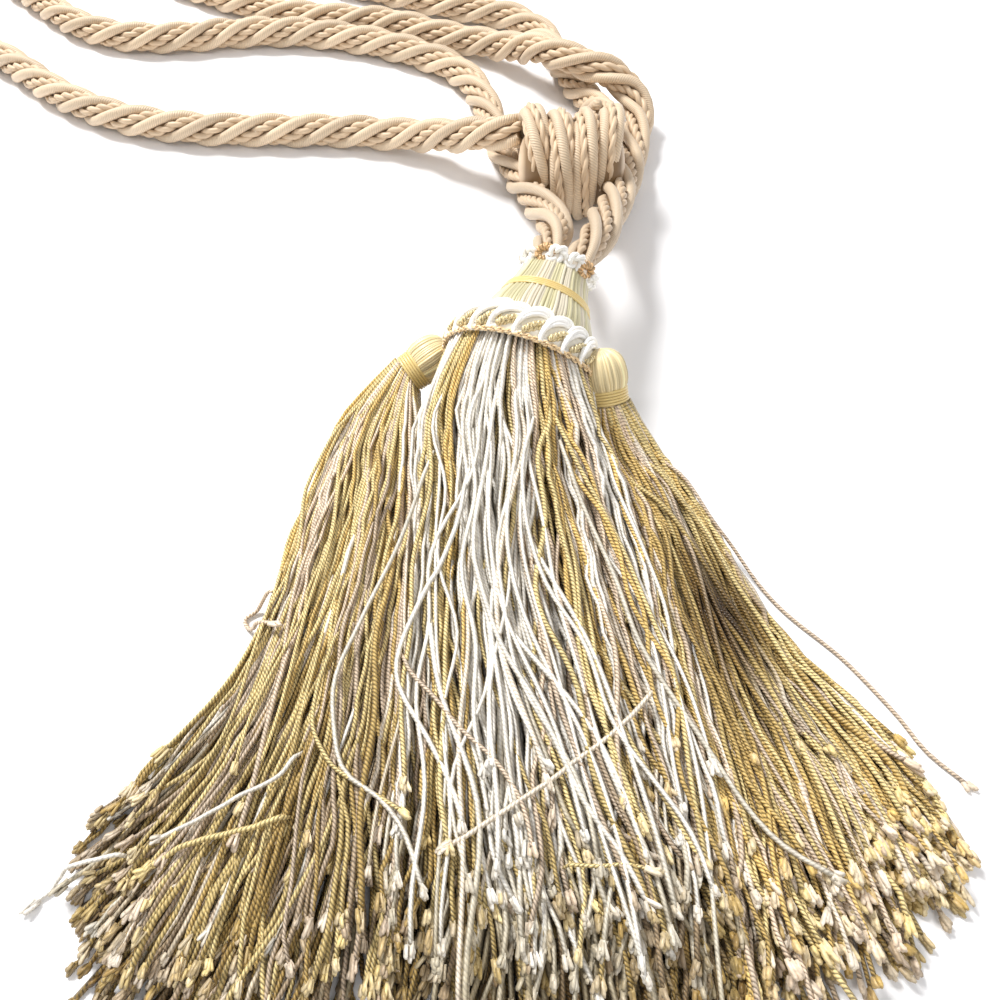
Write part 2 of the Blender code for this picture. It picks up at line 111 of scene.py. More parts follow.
# Silk threads: how far each overlaps the next, how unevenly they are spaced, lean and stand proud.
HEAD_THREADS, SMALL_THREADS = 104, 56
THREAD_OVERLAP, THREAD_SCATTER, THREAD_LEAN, THREAD_PROUD = 1.35, 0.15, 0.10, 0.12
# Bands: the station where a thread's turns start, their number and step, the thread's radius, and how
# proud it lies.
HEAD_BAND, SMALL_BAND = (11.2, 4, 0.62, 0.3, 0.15), (0.4, 5, 0.74, 0.38, 0.2)
RUFF_LOOPS, COLLAR_LOOPS = 22, 13
# Each ruff loop: half its height and width, its station and radius round the head, and its lean.
# Each of its strands: how far inside the outline, and how far proud of the ruff.
RUFF_TALL, RUFF_WIDE, RUFF_STATION, RUFF_RADIUS, RUFF_LEAN = 4.6, 4.5, -3.0, 20.6, -2.9
RUFF_STRANDS, RUFF_STRAND_RADIUS = ((0.0, 0.8), (1.05, 1.5), (2.1, 1.3)), 0.55
# The gold loop inside each, with half its width and its share of the lean, and its two plies.
GOLD_SHORTER, GOLD_WIDE, GOLD_STATION, GOLD_RADIUS = 2.9, 1.0, -4.6, 21.1
GOLD_LEAN, GOLD_LIFT, GOLD_PLY, GOLD_PITCH = 0.7, 0.6, 0.42, 2.6
RUFF_CORE_PROFILE = ((2.5, 14.8), (1.4, 17.8), (-2.0, 20.0), (-7.4, 21.0), (-7.6, 19.4))
# The chain stitch below the ruff, and how many times it sways on its way round.
CHAIN_STATION, CHAIN_RADIUS, CHAIN_SWAY, CHAIN_SWAYS = -7.8, 21.5, 0.45, 30
# Each collar loop, with half its width, height and depth.
COLLAR_STATION, COLLAR_RADIUS, COLLAR_WIDE, COLLAR_TALL, COLLAR_DEEP = 22.3, 9.4, 1.9, 1.3, 0.9
COLLAR_LEAN, COLLAR_LIFT = -0.7, 0.3
COLLAR_PROFILE = ((21.3, 8.8), (21.4, 9.6), (23.4, 9.4), (23.8, 8.6))

# Small tassels: the neck's lower end, the way the head points up from it, and its level side.
SMALL_LEFT = ((-25.2, 181.4, 13.4), (0.82, 0.44, 0.37), (0.94, -0.34, 0.0))
SMALL_RIGHT = ((27.6, 164.6, 20.5), (-0.20, 0.55, 0.81), (0.97, 0.24, 0.0))
# Their yarns leave a round root of this radius, puff out, and lie a little higher in the middle.
SMALL_RADIUS, SMALL_PUFF, SMALL_CROWN = 5.6, 9.0, 1.5
SMALL_PROFILE = (
    (-1.5, 5.3), (0.8, 5.0), (3.6, 5.1), (4.8, 5.9), (7.6, 6.2), (10.8, 5.6), (13.0, 3.6),
    (14.0, 0.5),
)

# Skirt: yarns from a round root in the ruff to the flat end of the fan.
SKIRT_RADIUS, SKIRT_START = 20.6, -6.4
# Rows of the fan: share of the length, then x and y where the left skirt, the middle one and the
# right one begin and end.
FAN = np.array((
    (0.10, -42, 168.5, -21.5, 160.5, 24.6, 153.5, 42, 152),
    (0.28, -48.5, 146, -19, 137, 31.5, 137, 48.5, 145),
    (0.48, -52, 121.5, -19.5, 109, 37, 109, 58, 122),
    (0.68, -59, 95.5, -20, 82, 40.5, 82, 70, 99),
    (0.86, -74, 74, -20.5, 52, 44, 52, 85, 80),
    (1.00, -86, 60, -21, 24, 45.5, 26, 94, 60),
))
# Rows of the pile: share of the length, heights of the middle, its sides, the small skirts' inner
# and outer sides, and how far the left, middle and right sections bow.
PILE = np.array((
    (0.10, 35, 24, 16, 12, 0, 0, 0),
    (0.28, 27, 19.5, 15.5, 9.5, 1, 0, 1),
    (0.48, 20.5, 16, 14, 7.5, 4, 1, 2),
    (0.68, 15.5, 13.2, 12.2, 6.5, 9, 3, 3),
    (0.86, 13, 11.8, 11, 5.5, 16, 5, 4),
    (1.00, 11.6, 10.8, 10, 5, 22, 7, 6),
))
# Yarns: their tubes, how much darker than its top painted shade makes a yarn's underside, and how
# uneven they are.
YARN_RINGS, YARN_SIDES = 33, 4
YARN_RADIUS, YARN_UNDER_SHADE, YARN_UNEVEN, SHADE_UNEVEN = 0.53, 0.44, 0.12, 0.16
# Frayed yarn ends: fibres to a yarn, their size and unevenness, places along them, and their
# undersides' painted shade.
FRAY_FIBRES, FRAY_LENGTH, FRAY_SPLAY, FRAY_BEND = 6, 3.2, 0.17, 0.07
FRAY_SPREAD, FRAY_RADII, FRAY_PALE = 0.30, (0.42, 0.58, 0.56, 0.26), 0.7
FRAY_SHARES, FRAY_UNDER_SHADE = (0.0, 0.45, 0.85, 1.0), 0.3
# A yarn's or strand's painted shade darkens blue most and red least, so that yarns in painted shade are
# warmer.
# These are its powers in red, green and blue. PALEST is the brightest that painted light makes a yarn.
SHADE_POWERS = (1.0, 1.2, 1.72)
PALEST = 0.95
# Painted shade and light on the pile: the lowest and the top yarns' painted shade, how much darker
# painted shade makes the lowest ends, and the pile's painted shade and light along the yarns, at shares
# of their length.
LOW_SHADE, TOP_SHADE = 0.52, 1.02
END_SHADE = {"left": 0.16, "middle": 0.54, "right": 0.12}
SHADE_AT = (0.1, 0.45, 0.75, 1.0)
SHADE_ALONG = {
    "left": (1.46, 1.36, 1.00, 0.92),
    "middle": (1.78, 1.62, 1.12, 0.60),
    "right": (1.44, 1.38, 1.50, 1.46),
}
# The main and the small skirts' yarns: layers, columns, the shares at which they end at the bottom,
# middle and top of the pile, and locks. Then the loose yarns over them, how unevenly yarns start and
# end, and how many of them are shorter and by how much.
MAIN_PILE, MAIN_FLYAWAYS = (10, 74, (0.985, 0.95, 0.85), 11), 34
SMALL_PILE, SMALL_FLYAWAYS = (9, 52, (0.985, 0.96, 0.91), 8), 9
COLUMN_JITTER, LAYER_JITTER, END_JITTER = 0.3, 0.2, 0.03
SHORT_SHARE, SHORT_BY = 0.22, 0.13
# How far yarns stray across the skirt, as a share of its width. Ends curl, and locks drift.
LOOSE_SHARE, LOOSE_REACH, CLOSE_REACH = 0.36, 0.10, 0.025
CURL_REACH, CURL_FROM, LOCK_DRIFT = 0.10, 0.66, 0.12
# Locks: how far their yarns are drawn together, the dips between them, what share of a lock's yarns
# has its own colour, and the share of the length where locks are at their full.
LOCK_PULL, LOCK_DIP, LOCK_ALIKE, LOCKS_FULL = 0.85, 0.16, 0.68, 0.3
# How far each skirt's yarns swing sideways, as a share of its width, at shares of its length.
SWINGS = {
    "left": ((0.30, 0.45, 0.64, 0.86, 1.0), (0.0, 0.0, 0.03, 0.09, 0.11)),
    "middle": ((0.08, 0.30, 0.45, 0.64, 0.86, 1.0), (0.0, -0.08, -0.08, 0.01, 0.12, 0.10)),
    "right": ((0.0, 1.0), (0.0, 0.0)),
}
# Waves of single yarns: size and cycles.
SIDE_WAVES, END_WAVES, HEIGHT_WAVES = (0.7, (1.5, 3, 6, 11)), (1.5, (5, 8)), (0.5, (2, 5, 9))
LOOSE_WAVES, STRAY_WAVES = (1.3, (1.3, 2.2, 4)), (0.3, (3, 5))
# The lowest yarns' part of the swing, each skirt's phase, and the share where waves are at their full.
SWING_LOW, WAVES_FULL = 0.3, 0.35
FLOW_PHASES = {"left": 0.3, "middle": 1.7, "right": 3.9}
# Slow waves that neighbouring yarns share: cycles across, along and from layer to layer, and size.
FLOWS = (
    (1.3, 0.8, 0.4, 0.036), (2.3, -1.3, 0.7, 0.028), (3.7, 1.9, 1.2, 0.016), (6.1, -2.3, 2.0, 0.009),
)
# The hollow in the right skirt, a dip with painted shade in it: its place and its spread, across and
# along, then how deep it dips the pile and how dark its painted shade is.
HOLLOW_PLACE, HOLLOW_SPREAD = (0.55, 0.52), (0.42, 0.19)
HOLLOW_DEPTH, HOLLOW_PAINTED_SHADE = 0.25, 0.94
# Loose yarns: how high over the pile they lie, how deep in it they start, how far they wander, and how
# much the hollow's painted shade darkens them.
FLYAWAY_LIFT, FLYAWAY_SUNK, FLYAWAY_REACH, FLYAWAY_SHADE = 0.7, 3.0, 0.13, 0.82


def srgb(red, green, blue):
    """A colour given as 0 to 255, in linear light."""
    shares = [value / 255 for value in (red, green, blue)]
    return tuple(s / 12.92 if s <= 0.04045 else ((s + 0.055) / 1.055) ** 2.4 for s in shares)


# Each look of yarn: colour, depth of the groove between its plies (its bump and its painted shade),
# spacing of the grooves in mm.
GOLD = (srgb(237, 214, 152), 0.7, 0.92)
DEEP_GOLD = (srgb(198, 168, 102), 0.7, 0.92)
TAUPE = (srgb(206, 186, 164), 0.6, 0.92)
PALE_TAUPE = (srgb(236, 223, 205), 0.45, 0.95)
WHITE = (srgb(240, 236, 229), 0.3, 1.0)
RUFF_WHITE = (srgb(252, 249, 243), 0.3, 2.4)
RUFF_CORE = (srgb(255, 249, 234), 0.3, 2.4)
IVORY = (srgb(214, 204, 181), 0.2, 6.0)
LIME_SILK = (srgb(204, 196, 157), 0.2, 6.0)
SILK_GOLD = (srgb(234, 215, 168), 0.25, 6.0)
BAND_GOLD = (srgb(230, 204, 136), 0.2, 6.0)
METAL_GOLD = (srgb(244, 224, 174), 0.5, 1.1)
COPPER = (srgb(226, 184, 132), 0.6, 1.1)
CHAIN_GOLD = (srgb(224, 196, 152), 0.7, 1.4)
ROPE_BEIGE = (srgb(214, 191, 161), 0.3, 1.0)
ROPE_BEAD = (srgb(210, 184, 152), 0.3, 1.0)
# The rope core's colour is painted shade, seen in the crevices between strands and between the knot's
# wraps.
ROPE_SHADE_CORE = (srgb(124, 96, 62), 0.3, 1.0)

# The looks of the skirts' yarns. STREAKS gives the shares of these looks in each streak, from the left
# side of a skirt to its right, up to an edge. The main skirt is mixed below STREAKS_FROM of its pile.
SKIRT_LOOKS = (WHITE, GOLD, DEEP_GOLD, TAUPE, PALE_TAUPE)
STREAKS_FROM, MIXED_SHARES = 0.55, (0.26, 0.28, 0.16, 0.18, 0.12)
STREAKS = {
    "left": ((0.28, (0.02, 0.38, 0.16, 0.30, 0.14)), (1.01, (0.03, 0.40, 0.24, 0.20, 0.13))),
    "middle": (
        (0.12, (0.62, 0.14, 0.03, 0.06, 0.15)), (0.21, (0.15, 0.45, 0.14, 0.14, 0.12)),
        (0.46, (0.80, 0.07, 0.02, 0.03, 0.08)), (0.55, (0.2, 0.26, 0.08, 0.24, 0.22)),
        (0.66, (0.68, 0.12, 0.03, 0.05, 0.12)), (0.73, (0.15, 0.42, 0.17, 0.14, 0.12)),
        (0.83, (0.2, 0.12, 0.12, 0.34, 0.22)), (0.92, (0.58, 0.14, 0.07, 0.11, 0.10)),
        (1.01, (0.15, 0.38, 0.28, 0.14, 0.05)),
    ),
    "right": (
        (0.2, (0.04, 0.42, 0.2, 0.16, 0.18)), (0.45, (0.0, 0.16, 0.48, 0.36, 0.0)),
        (1.01, (0.04, 0.42, 0.2, 0.16, 0.18)),
    ),
}

# Loose yarns that stand out: the look and the route of each, laid on the tops of skirts within reach.
# Each starts a little sunk where it comes out of a skirt. Painted light makes them lighter than their
# colour.
STRAY_REACH, STRAY_SUNK, STRAY_PAINTED_LIGHT = 3.0, 2.5, 1.2
STRAYS = (
    (WHITE, (
        (-16, 146), (-21.5, 129.4), (-31, 104.8), (-35.5, 91.3), (-34.5, 79.6), (-31.5, 70.7),
        (-24, 65), (-18.5, 58), (-14.5, 48),
    )),
    (WHITE, (
        (-7.1, 139.5), (-12.5, 117.6), (-16.9, 109.5), (-21.7, 98.9), (-21.7, 90), (-15.6, 77.6),
        (-9, 65.7), (-7, 60),
    )),
    (GOLD, ((-36, 104), (-39.5, 84), (-35, 73), (-26.5, 67), (-19.5, 62.5))),
    (WHITE, ((-41, 76), (-45, 70), (-52, 66.5), (-60, 62), (-67.5, 58.5))),
    (GOLD, ((-42, 62.5), (-48.5, 60), (-61.5, 57), (-68, 53))),
    (TAUPE, (
        (-52.6, 116.4), (-57.2, 115.4), (-60.2, 113.2), (-60.4, 110.8), (-58.2, 108.8), (-52.4, 106.6),
    )),
    (WHITE, ((-74, 56), (-83.2, 54.1), (-87.5, 52.9), (-90, 50.4), (-91.9, 48.7))),
    (TAUPE, (
        (41, 152), (43.5, 149.2), (47.7, 143.7), (52.4, 135.8), (59.1, 128.6), (67.7, 115.5),
        (80.5, 101), (88.3, 88.7), (93, 79.8), (99.6, 72.4),
    )),
    (WHITE, ((-7, 122), (-5, 113.1), (0, 96.7), (8.4, 82), (15.9, 64.9), (23.2, 53.7), (27.2, 45.4))),
    (PALE_TAUPE, ((33.4, 89.1), (29.8, 83.8), (20.3, 75.3), (12, 69.3), (0, 61.3), (-9.7, 55.7))),
    (GOLD, ((12, 52), (19, 51.7), (24, 52.1), (28, 51.2))),
    (WHITE, (
        (14.2, 145.3), (17.6, 132.7), (23.2, 118.3), (30.4, 96.7), (39.7, 79.9), (47.5, 65.9),
        (55, 56.2), (63.8, 50.7),
    )),
    (TAUPE, ((-22.4, 97.8), (-14.9, 86.6), (-2, 72.6), (4, 64.9), (5.8, 55.1))),
    (WHITE, ((8, 150), (5, 134), (9, 112), (18, 96), (24, 78), (36, 60), (40, 48))),
)


def to_part(points):
    return (np.asarray(points, float) - CENTRE) * MM


def unit(vectors):
    return vectors / np.linalg.norm(vectors, axis=-1, keepdims=True)


def smooth_step(share):
    share = np.clip(share, 0.0, 1.0)
    return share * share * (3 - 2 * share)


# ---- Camera, light and floor ----


def linked(name, data):
    """A new object in the scene."""
    made = bpy.data.objects.new(name, data)
    bpy.context.scene.collection.objects.link(made)
    return made


def attach(piece, node, slot):
    """Says what a piece rides and which CAD node it replaces. The slot is not used."""
    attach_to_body(piece, "root")
    if node:
        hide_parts(node)


def make_camera():
    data = bpy.data.cameras.new("camera")
    data.sensor_fit = "HORIZONTAL"
    data.angle = 2 * math.atan(IMAGE_SIDE / 2 / CAMERA_FOCAL)
    data.clip_start = 0.01
    made = linked("camera", data)
    made.location = to_part(CAMERA_PLACE)
    made.rotation_euler = (CAMERA_TILT, 0.0, 0.0)
    bpy.context.scene.camera = made


def make_light(name, place, aim, size, power):
    data = bpy.data.lights.new(name, "AREA")
    data.shape, data.size, data.energy = "DISK", size, power
    made = linked(name, data)
    made.location = place
    made.rotation_euler = (Vector(aim) - Vector(place)).to_track_quat("-Z", "Y").to_euler()


def make_studio():
    scene = bpy.context.scene
    scene.view_settings.view_transform = "Standard"
    scene.world = bpy.data.worlds.new("studio")
    scene.world.use_nodes = True
    sky = scene.world.node_tree.nodes["Background"]
    sky.inputs["Color"].default_value = SKY_COLOUR
    sky.inputs["Strength"].default_value = SKY_STRENGTH
    for light in LIGHTS:
        make_light(*light)
    mesh = bpy.data.meshes.new("floor")
    corners = [(x * FLOOR_REACH, y * FLOOR_REACH, 0) for x, y in ((-1, -1), (1, -1), (1, 1), (-1, 1))]
    mesh.from_pydata(corners, [], [(0, 1, 2, 3)])
    mesh.materials.append(floor_look())
    linked("floor", mesh)


# ---- Materials ----


class Looks:
    """A material with the few node calls that the looks below share."""

    def __init__(self, name, roughness, **sockets):
        self.material = bpy.data.materials.new(name)
        self.material.use_nodes = True
        self.tree = self.material.node_tree
        self.shader = self.tree.nodes["Principled BSDF"]
        self.shader.inputs["Roughness"].default_value = roughness
        for socket, value in sockets.items():
            self.shader.inputs[socket.replace("_", " ")].default_value = value

    def node(self, kind, **settings):
        made = self.tree.nodes.new("ShaderNode" + kind)
        for key, value in settings.items():
            setattr(made, key, value)
        return made

    def feed(self, socket, value):
        if isinstance(value, bpy.types.NodeSocket):
            self.tree.links.new(value, socket)
        else:
            socket.default_value = value

    def math(self, operation, *values):
        made = self.node("Math", operation=operation)
        for socket, value in zip(made.inputs, values):
            self.feed(socket, value)
        return made.outputs[0]

    def uv(self):
        split = self.node("SeparateXYZ")
        self.tree.links.new(self.node("UVMap", uv_map="yarn").outputs[0], split.inputs[0])
        return split.outputs[0], split.outputs[1]

    def tint(self):
        made = self.node("Attribute", attribute_name="tint")
        return made.outputs["Color"], made.outputs["Alpha"]

    def noise(self, scale, detail=2.0):
        made = self.node("TexNoise")
        made.inputs["Scale"].default_value = scale
        made.inputs["Detail"].default_value = detail
        place = self.node("TexCoord").outputs["Object"]
        self.tree.links.new(place, made.inputs["Vector"])
        return made.outputs["Fac"]

    def colour(self, base, shade):
        """The base colour times a grey shade."""
        made = self.node("Mix", data_type="RGBA", blend_type="MULTIPLY")
        made.inputs["Factor"].default_value = 1.0
        self.feed(made.inputs[6], base)
        grey = self.node("CombineColor")
        for socket in grey.inputs[:3]:
            self.feed(socket, shade)
        self.tree.links.new(grey.outputs[0], made.inputs[7])
        self.tree.links.new(made.outputs[2], self.shader.inputs["Base Color"])

    def bump(self, height, strength, distance):
        made = self.node("Bump")
        self.feed(made.inputs["Strength"], strength)
        made.inputs["Distance"].default_value = distance
        self.feed(made.inputs["Height"], height)
        self.tree.links.new(made.outputs[0], self.shader.inputs["Normal"])


def yarn_look(name, roughness, **sockets):
    """Two plies twisted: a groove runs round the yarn, bumped and darkened with painted shade, as deep
    as the tint's alpha says.
    """
    look = Looks(name, roughness, **sockets)
    around, along = look.uv()
    tint, depth = look.tint()
    uneven = look.math("MULTIPLY_ADD", look.noise(300.0), 0.9, along)
    phase = look.math("ADD", look.math("MULTIPLY", around, 2.0), uneven)
    groove = look.math("ABSOLUTE", look.math("SINE", look.math("MULTIPLY", phase, math.pi)))
    ply = look.math("POWER", groove, 0.7)
    # Painted shade in the groove between the plies.
    dark = look.math("MULTIPLY", look.math("SUBTRACT", 1.0, ply), depth)
    fuzz = look.math("MULTIPLY_ADD", look.noise(700.0, 3.0), 0.9, 0.55)
    shade = look.math("MULTIPLY", look.math("SUBTRACT", 1.0, dark), fuzz)
    look.colour(tint, shade)
    look.bump(ply, depth, 0.0004)
    return look.material


def gimp_look():
    """A strand wrapped closely in fine silk: narrow ribs cross it, bumped, with painted shade between
    them.
    """
    look = Looks("gimp_silk", 0.5, Sheen_Weight=0.1)
    around, along = look.uv()
    tint, _ = look.tint()
    slant = look.math("MULTIPLY", around, 6 * math.tau)
    turn = look.math("MULTIPLY_ADD", along, math.tau / RIB_SPACING, slant)
    rib = look.math("MULTIPLY_ADD", look.math("SINE", turn), 0.5, 0.5)
    mottle = look.math("MULTIPLY_ADD", look.noise(140.0), 0.2, 0.74)
    # Painted shade between the ribs, over a random mottle.
    shade = look.math("MULTIPLY_ADD", rib, 0.22, mottle)
    look.colour(tint, shade)
    look.bump(rib, 0.6, 0.0002)
    return look.material


def satin_look(name, roughness=0.3, **sockets):
    """Smooth silk whose fibres run along the strand."""
    look = Looks(name, roughness, **sockets)
    around, along = look.uv()
    tint, _ = look.tint()
    place = look.node("CombineXYZ")
    look.feed(place.inputs[0], look.math("MULTIPLY", around, 14.0))
    look.feed(place.inputs[1], look.math("MULTIPLY", along, 0.35))
    fibre = look.node("TexNoise")
    fibre.inputs["Scale"].default_value = 1.0
    look.tree.links.new(place.outputs[0], fibre.inputs["Vector"])
    shade = look.math("MULTIPLY_ADD", fibre.outputs["Fac"], 0.3, 0.82)
    look.colour(tint, shade)
    look.bump(fibre.outputs["Fac"], 0.25, 0.0002)
    return look.material


def floor_look():
    look = Looks("paper", 0.9)
    shade = look.math("MULTIPLY_ADD", look.noise(3.0), 0.02, 0.97)
    look.colour((0.95, 0.945, 0.95, 1.0), shade)
    return look.material


# ---- Tubes ----


def smooth_route(points, step):
    """Points a step apart on a Catmull-Rom curve through the route, and how far along each is."""
    p = np.asarray(points, float)
    p = np.vstack([2 * p[0] - p[1], p, 2 * p[-1] - p[-2]])
    a, b, c, d = p[:-3], p[1:-2], p[2:-1], p[3:]
    t = np.linspace(0, 1, 24, endpoint=False)[:, None, None]
    bends = (c - a) * t + (2 * a - 5 * b + 4 * c - d) * t**2 + (3 * b - a - 3 * c + d) * t**3
    fine = (b + 0.5 * bends).transpose(1, 0, 2).reshape(-1, 3)
    return spaced(np.vstack([fine, p[-2]]), step)


def spaced(line, step):
    along = np.concatenate([[0.0], np.cumsum(np.linalg.norm(np.diff(line, axis=0), axis=1))])
    at = np.linspace(0, along[-1], max(2, round(along[-1] / step)) + 1)
    return np.stack([np.interp(at, along, line[:, k]) for k in range(3)], 1), at


def frames_of(paths):
    """Two directions across each path, carried along it without spin."""
    tangents = unit(np.gradient(paths, axis=1))
    across = np.empty_like(paths)
    aside = np.cross(tangents[:, 0], UP)
    carried = np.where(np.linalg.norm(aside, axis=1, keepdims=True) > 0.05, aside, [1.0, 0.0, 0.0])
    for i in range(paths.shape[1]):
        tangent = tangents[:, i]
        carried = unit(carried - tangent * np.sum(carried * tangent, axis=1, keepdims=True))
        across[:, i] = carried
    return across, np.cross(tangents, across)


def length_along(paths):
    steps = np.linalg.norm(np.diff(paths, axis=1), axis=2)
    return np.concatenate([np.zeros((len(paths), 1)), np.cumsum(steps, axis=1)], axis=1)


class Bundle:
    """Tubes gathered into one mesh, with a colour at each point and a place along each tube."""

    def __init__(self):
        self.points, self.faces, self.uvs, self.tints, self.looks = [], [], [], [], []
        self.count = 0

    def add_faces(self, faces, uvs, look):
        self.faces.append(faces.reshape(-1, faces.shape[-1]))
        self.uvs.append(uvs.reshape(-1, 2))
        self.looks.append(np.full(len(self.faces[-1]), look))

    def rings(self, *shape):
        """Numbers for new points in rings, and the faces between neighbouring rings."""
        index = self.count + np.arange(math.prod(shape)).reshape(shape)
        self.count += index.size
        after = np.roll(index, -1, axis=-1)
        low, high = np.s_[..., :-1, :], np.s_[..., 1:, :]
        return index, np.stack([index[low], after[low], after[high], index[high]], -1)

    def tubes(self, paths, radii, sides, tint, spacing=1.0, look=0, under=0.0):
        """Adds a tube along each path. The UV map's v counts spacings along it.

        under is how much darker than its top painted shade makes a tube's underside.
        """
        paths = np.asarray(paths, float)
        n, m = paths.shape[:2]
        across, other = frames_of(paths)
        turn = np.arange(sides) * math.tau / sides
        ring = across[:, :, None] * np.cos(turn)[:, None] + other[:, :, None] * np.sin(turn)[:, None]
        radii = np.broadcast_to(radii, (n, m))
        self.points.append((paths[:, :, None] + ring * radii[:, :, None, None]).reshape(-1, 3))
        tint = np.asarray(tint, float)
        tint = tint if tint.ndim == 3 else np.broadcast_to(tint, (n, 4))[:, None]
        # Painted shade: each tube's underside is darker than its top, and warmer.
        low = 1 - under * (0.5 - 0.5 * ring[..., 2:])
        tints = tint[:, :, None] * np.concatenate([low**SHADE_POWERS, np.ones_like(low)], axis=-1)
        self.tints.append(tints.reshape(-1, 4))
        index, quads = self.rings(n, m, sides)
        u = np.arange(sides) / sides
        v = length_along(paths) / np.broadcast_to(np.asarray(spacing, float), (n,))[:, None]
        uvs = np.empty((*quads.shape, 2))
        uvs[..., 0] = np.stack([u, u + 1 / sides, u + 1 / sides, u], -1)
        uvs[..., 1] = np.stack([v[:, :-1], v[:, :-1], v[:, 1:], v[:, 1:]], -1)[:, :, None]
        self.add_faces(quads, uvs, look)
        for cap, at in ((index[:, 0, ::-1], 0), (index[:, -1], -1)):
            ends = np.empty((n, sides, 2))
            ends[..., 0], ends[..., 1] = u, v[:, at, None]
            self.add_faces(cap, ends, look)

    def build(self, name, materials):
        mesh = bpy.data.meshes.new(name)
        points = to_part(np.concatenate(self.points))
        points[:, 2] = np.maximum(points[:, 2], 0.0)
        mesh.vertices.add(len(points))
        mesh.vertices.foreach_set("co", points.ravel())
        corners = np.concatenate([faces.ravel() for faces in self.faces])
        sizes = np.concatenate([np.full(len(faces), faces.shape[1]) for faces in self.faces])
        mesh.loops.add(len(corners))
        mesh.loops.foreach_set("vertex_index", corners)
        mesh.polygons.add(len(sizes))
        mesh.polygons.foreach_set("loop_start", np.cumsum(sizes) - sizes)
        mesh.polygons.foreach_set("material_index", np.concatenate(self.looks))
        mesh.update(calc_edges=True)
        mesh.uv_layers.new(name="yarn").data.foreach_set("uv", np.concatenate(self.uvs).ravel())
        tint = mesh.attributes.new("tint", "FLOAT_COLOR", "POINT")
        tint.data.foreach_set("color", np.concatenate(self.tints).ravel())
        for material in materials:
            mesh.materials.append(material)
        mesh.shade_smooth()
        return linked(name, mesh)


def tints_for(look, count=1, draw=None, spread=0.0):
    """A look's colour and groove depth for each of some tubes, a little lighter or darker."""
    tints = np.tile((*look[0], look[1]), (count, 1))
    if draw is not None:
        tints[:, :3] *= 1 + spread * draw.standard_normal((count, 1))
    return np.clip(tints, 0.0, 1.0)


# ---- Rope and knot ----


def wound(centre, away, turn):
    """Paths round a centre line, a distance away at an angle for each point."""
    across, other = (side[0] for side in frames_of(centre[None]))
    return centre + (across * np.cos(turn)[..., None] + other * np.sin(turn)[..., None]) * away[:, None]


def add_rope(bundle, centre, sizes, size, turn, shade, draw):
    """Lays the rope's strands round a centre line whose points are a ply's step apart."""
    core, gimp_radius, gimp_away, ply_radius, ply_away, bead_away = sizes
    along = length_along(centre[None])[0]
    few = slice(None, None, 3)
    # shade is painted shade on the gimps and plies, darker on the legs.
    shade = np.stack([shade, shade, shade, np.ones_like(shade)], axis=-1)
    # The dark core is painted shade in the crevices between the strands.
    bundle.tubes(centre[None, few], core * size[few], 8, tints_for(ROPE_SHADE_CORE), look=1)
    gimps = [wound(centre, gimp_away * size, turn + math.tau * k / 3)[few] for k in range(3)]
    tints = tints_for(ROPE_BEIGE, 3, draw, 0.03)[:, None] * shade[few]
    bundle.tubes(gimps, gimp_radius * size[few], 10, tints, look=0)
    for k in range(3):
        bead = wound(centre, bead_away * size, turn + math.tau * (k + 0.5) / 3)
        twist = math.tau * along / PLY_PITCH
        plies = [wound(bead, ply_away * size, twist + math.pi * j) for j in range(2)]
        tints = tints_for(ROPE_BEAD, 2, draw, 0.03)[:, None] * shade
        bundle.tubes(plies, ply_radius * size, 6, tints, look=1)


def make_rope(name, route, materials, seed):
    centre, along = smooth_route([(*place, ROPE_REST)[:3] for place in route], PLY_STEP)
    size = ROPE_ENTRY + (1 - ROPE_ENTRY) * np.minimum(1.0, along / ROPE_TAPER)
    opened = np.clip(1.5 - along / LEG_LENGTH, 0.0, 1.0)
    turns = np.cumsum(PLY_STEP / (ROPE_PITCH + (LEG_PITCH - ROPE_PITCH) * opened))
    bundle = Bundle()
    # Painted shade: the legs are made a little darker than the rest of the rope.
    shade = 1 - LEG_PAINTED_SHADE * opened
    add_rope(bundle, centre, LOOSE_LAY, size, -math.tau * turns, shade, np.random.default_rng(seed))
    return bundle.build(name, materials), centre, along[-1]


def knot_spot(share, angle, inset):
    """A point under the knot's surface: share runs from -1 at its left end to 1."""
    barrel = 1 - (1 - KNOT_END_RADIUS / KNOT_RADIUS) * np.abs(share) ** 5
    radius = KNOT_RADIUS * barrel - inset
    width = KNOT_HALF_WIDTH + KNOT_FAN * np.cos(angle - KNOT_FAN_ANGLE) * barrel
    spot = KNOT_MIDDLE + KNOT_END_SHIFT * (share * share)[..., None]
    spot = spot + np.stack([share * width, radius * np.cos(angle), radius * np.sin(angle)], -1)
    spot[..., 2] = np.maximum(spot[..., 2], inset)
    return spot


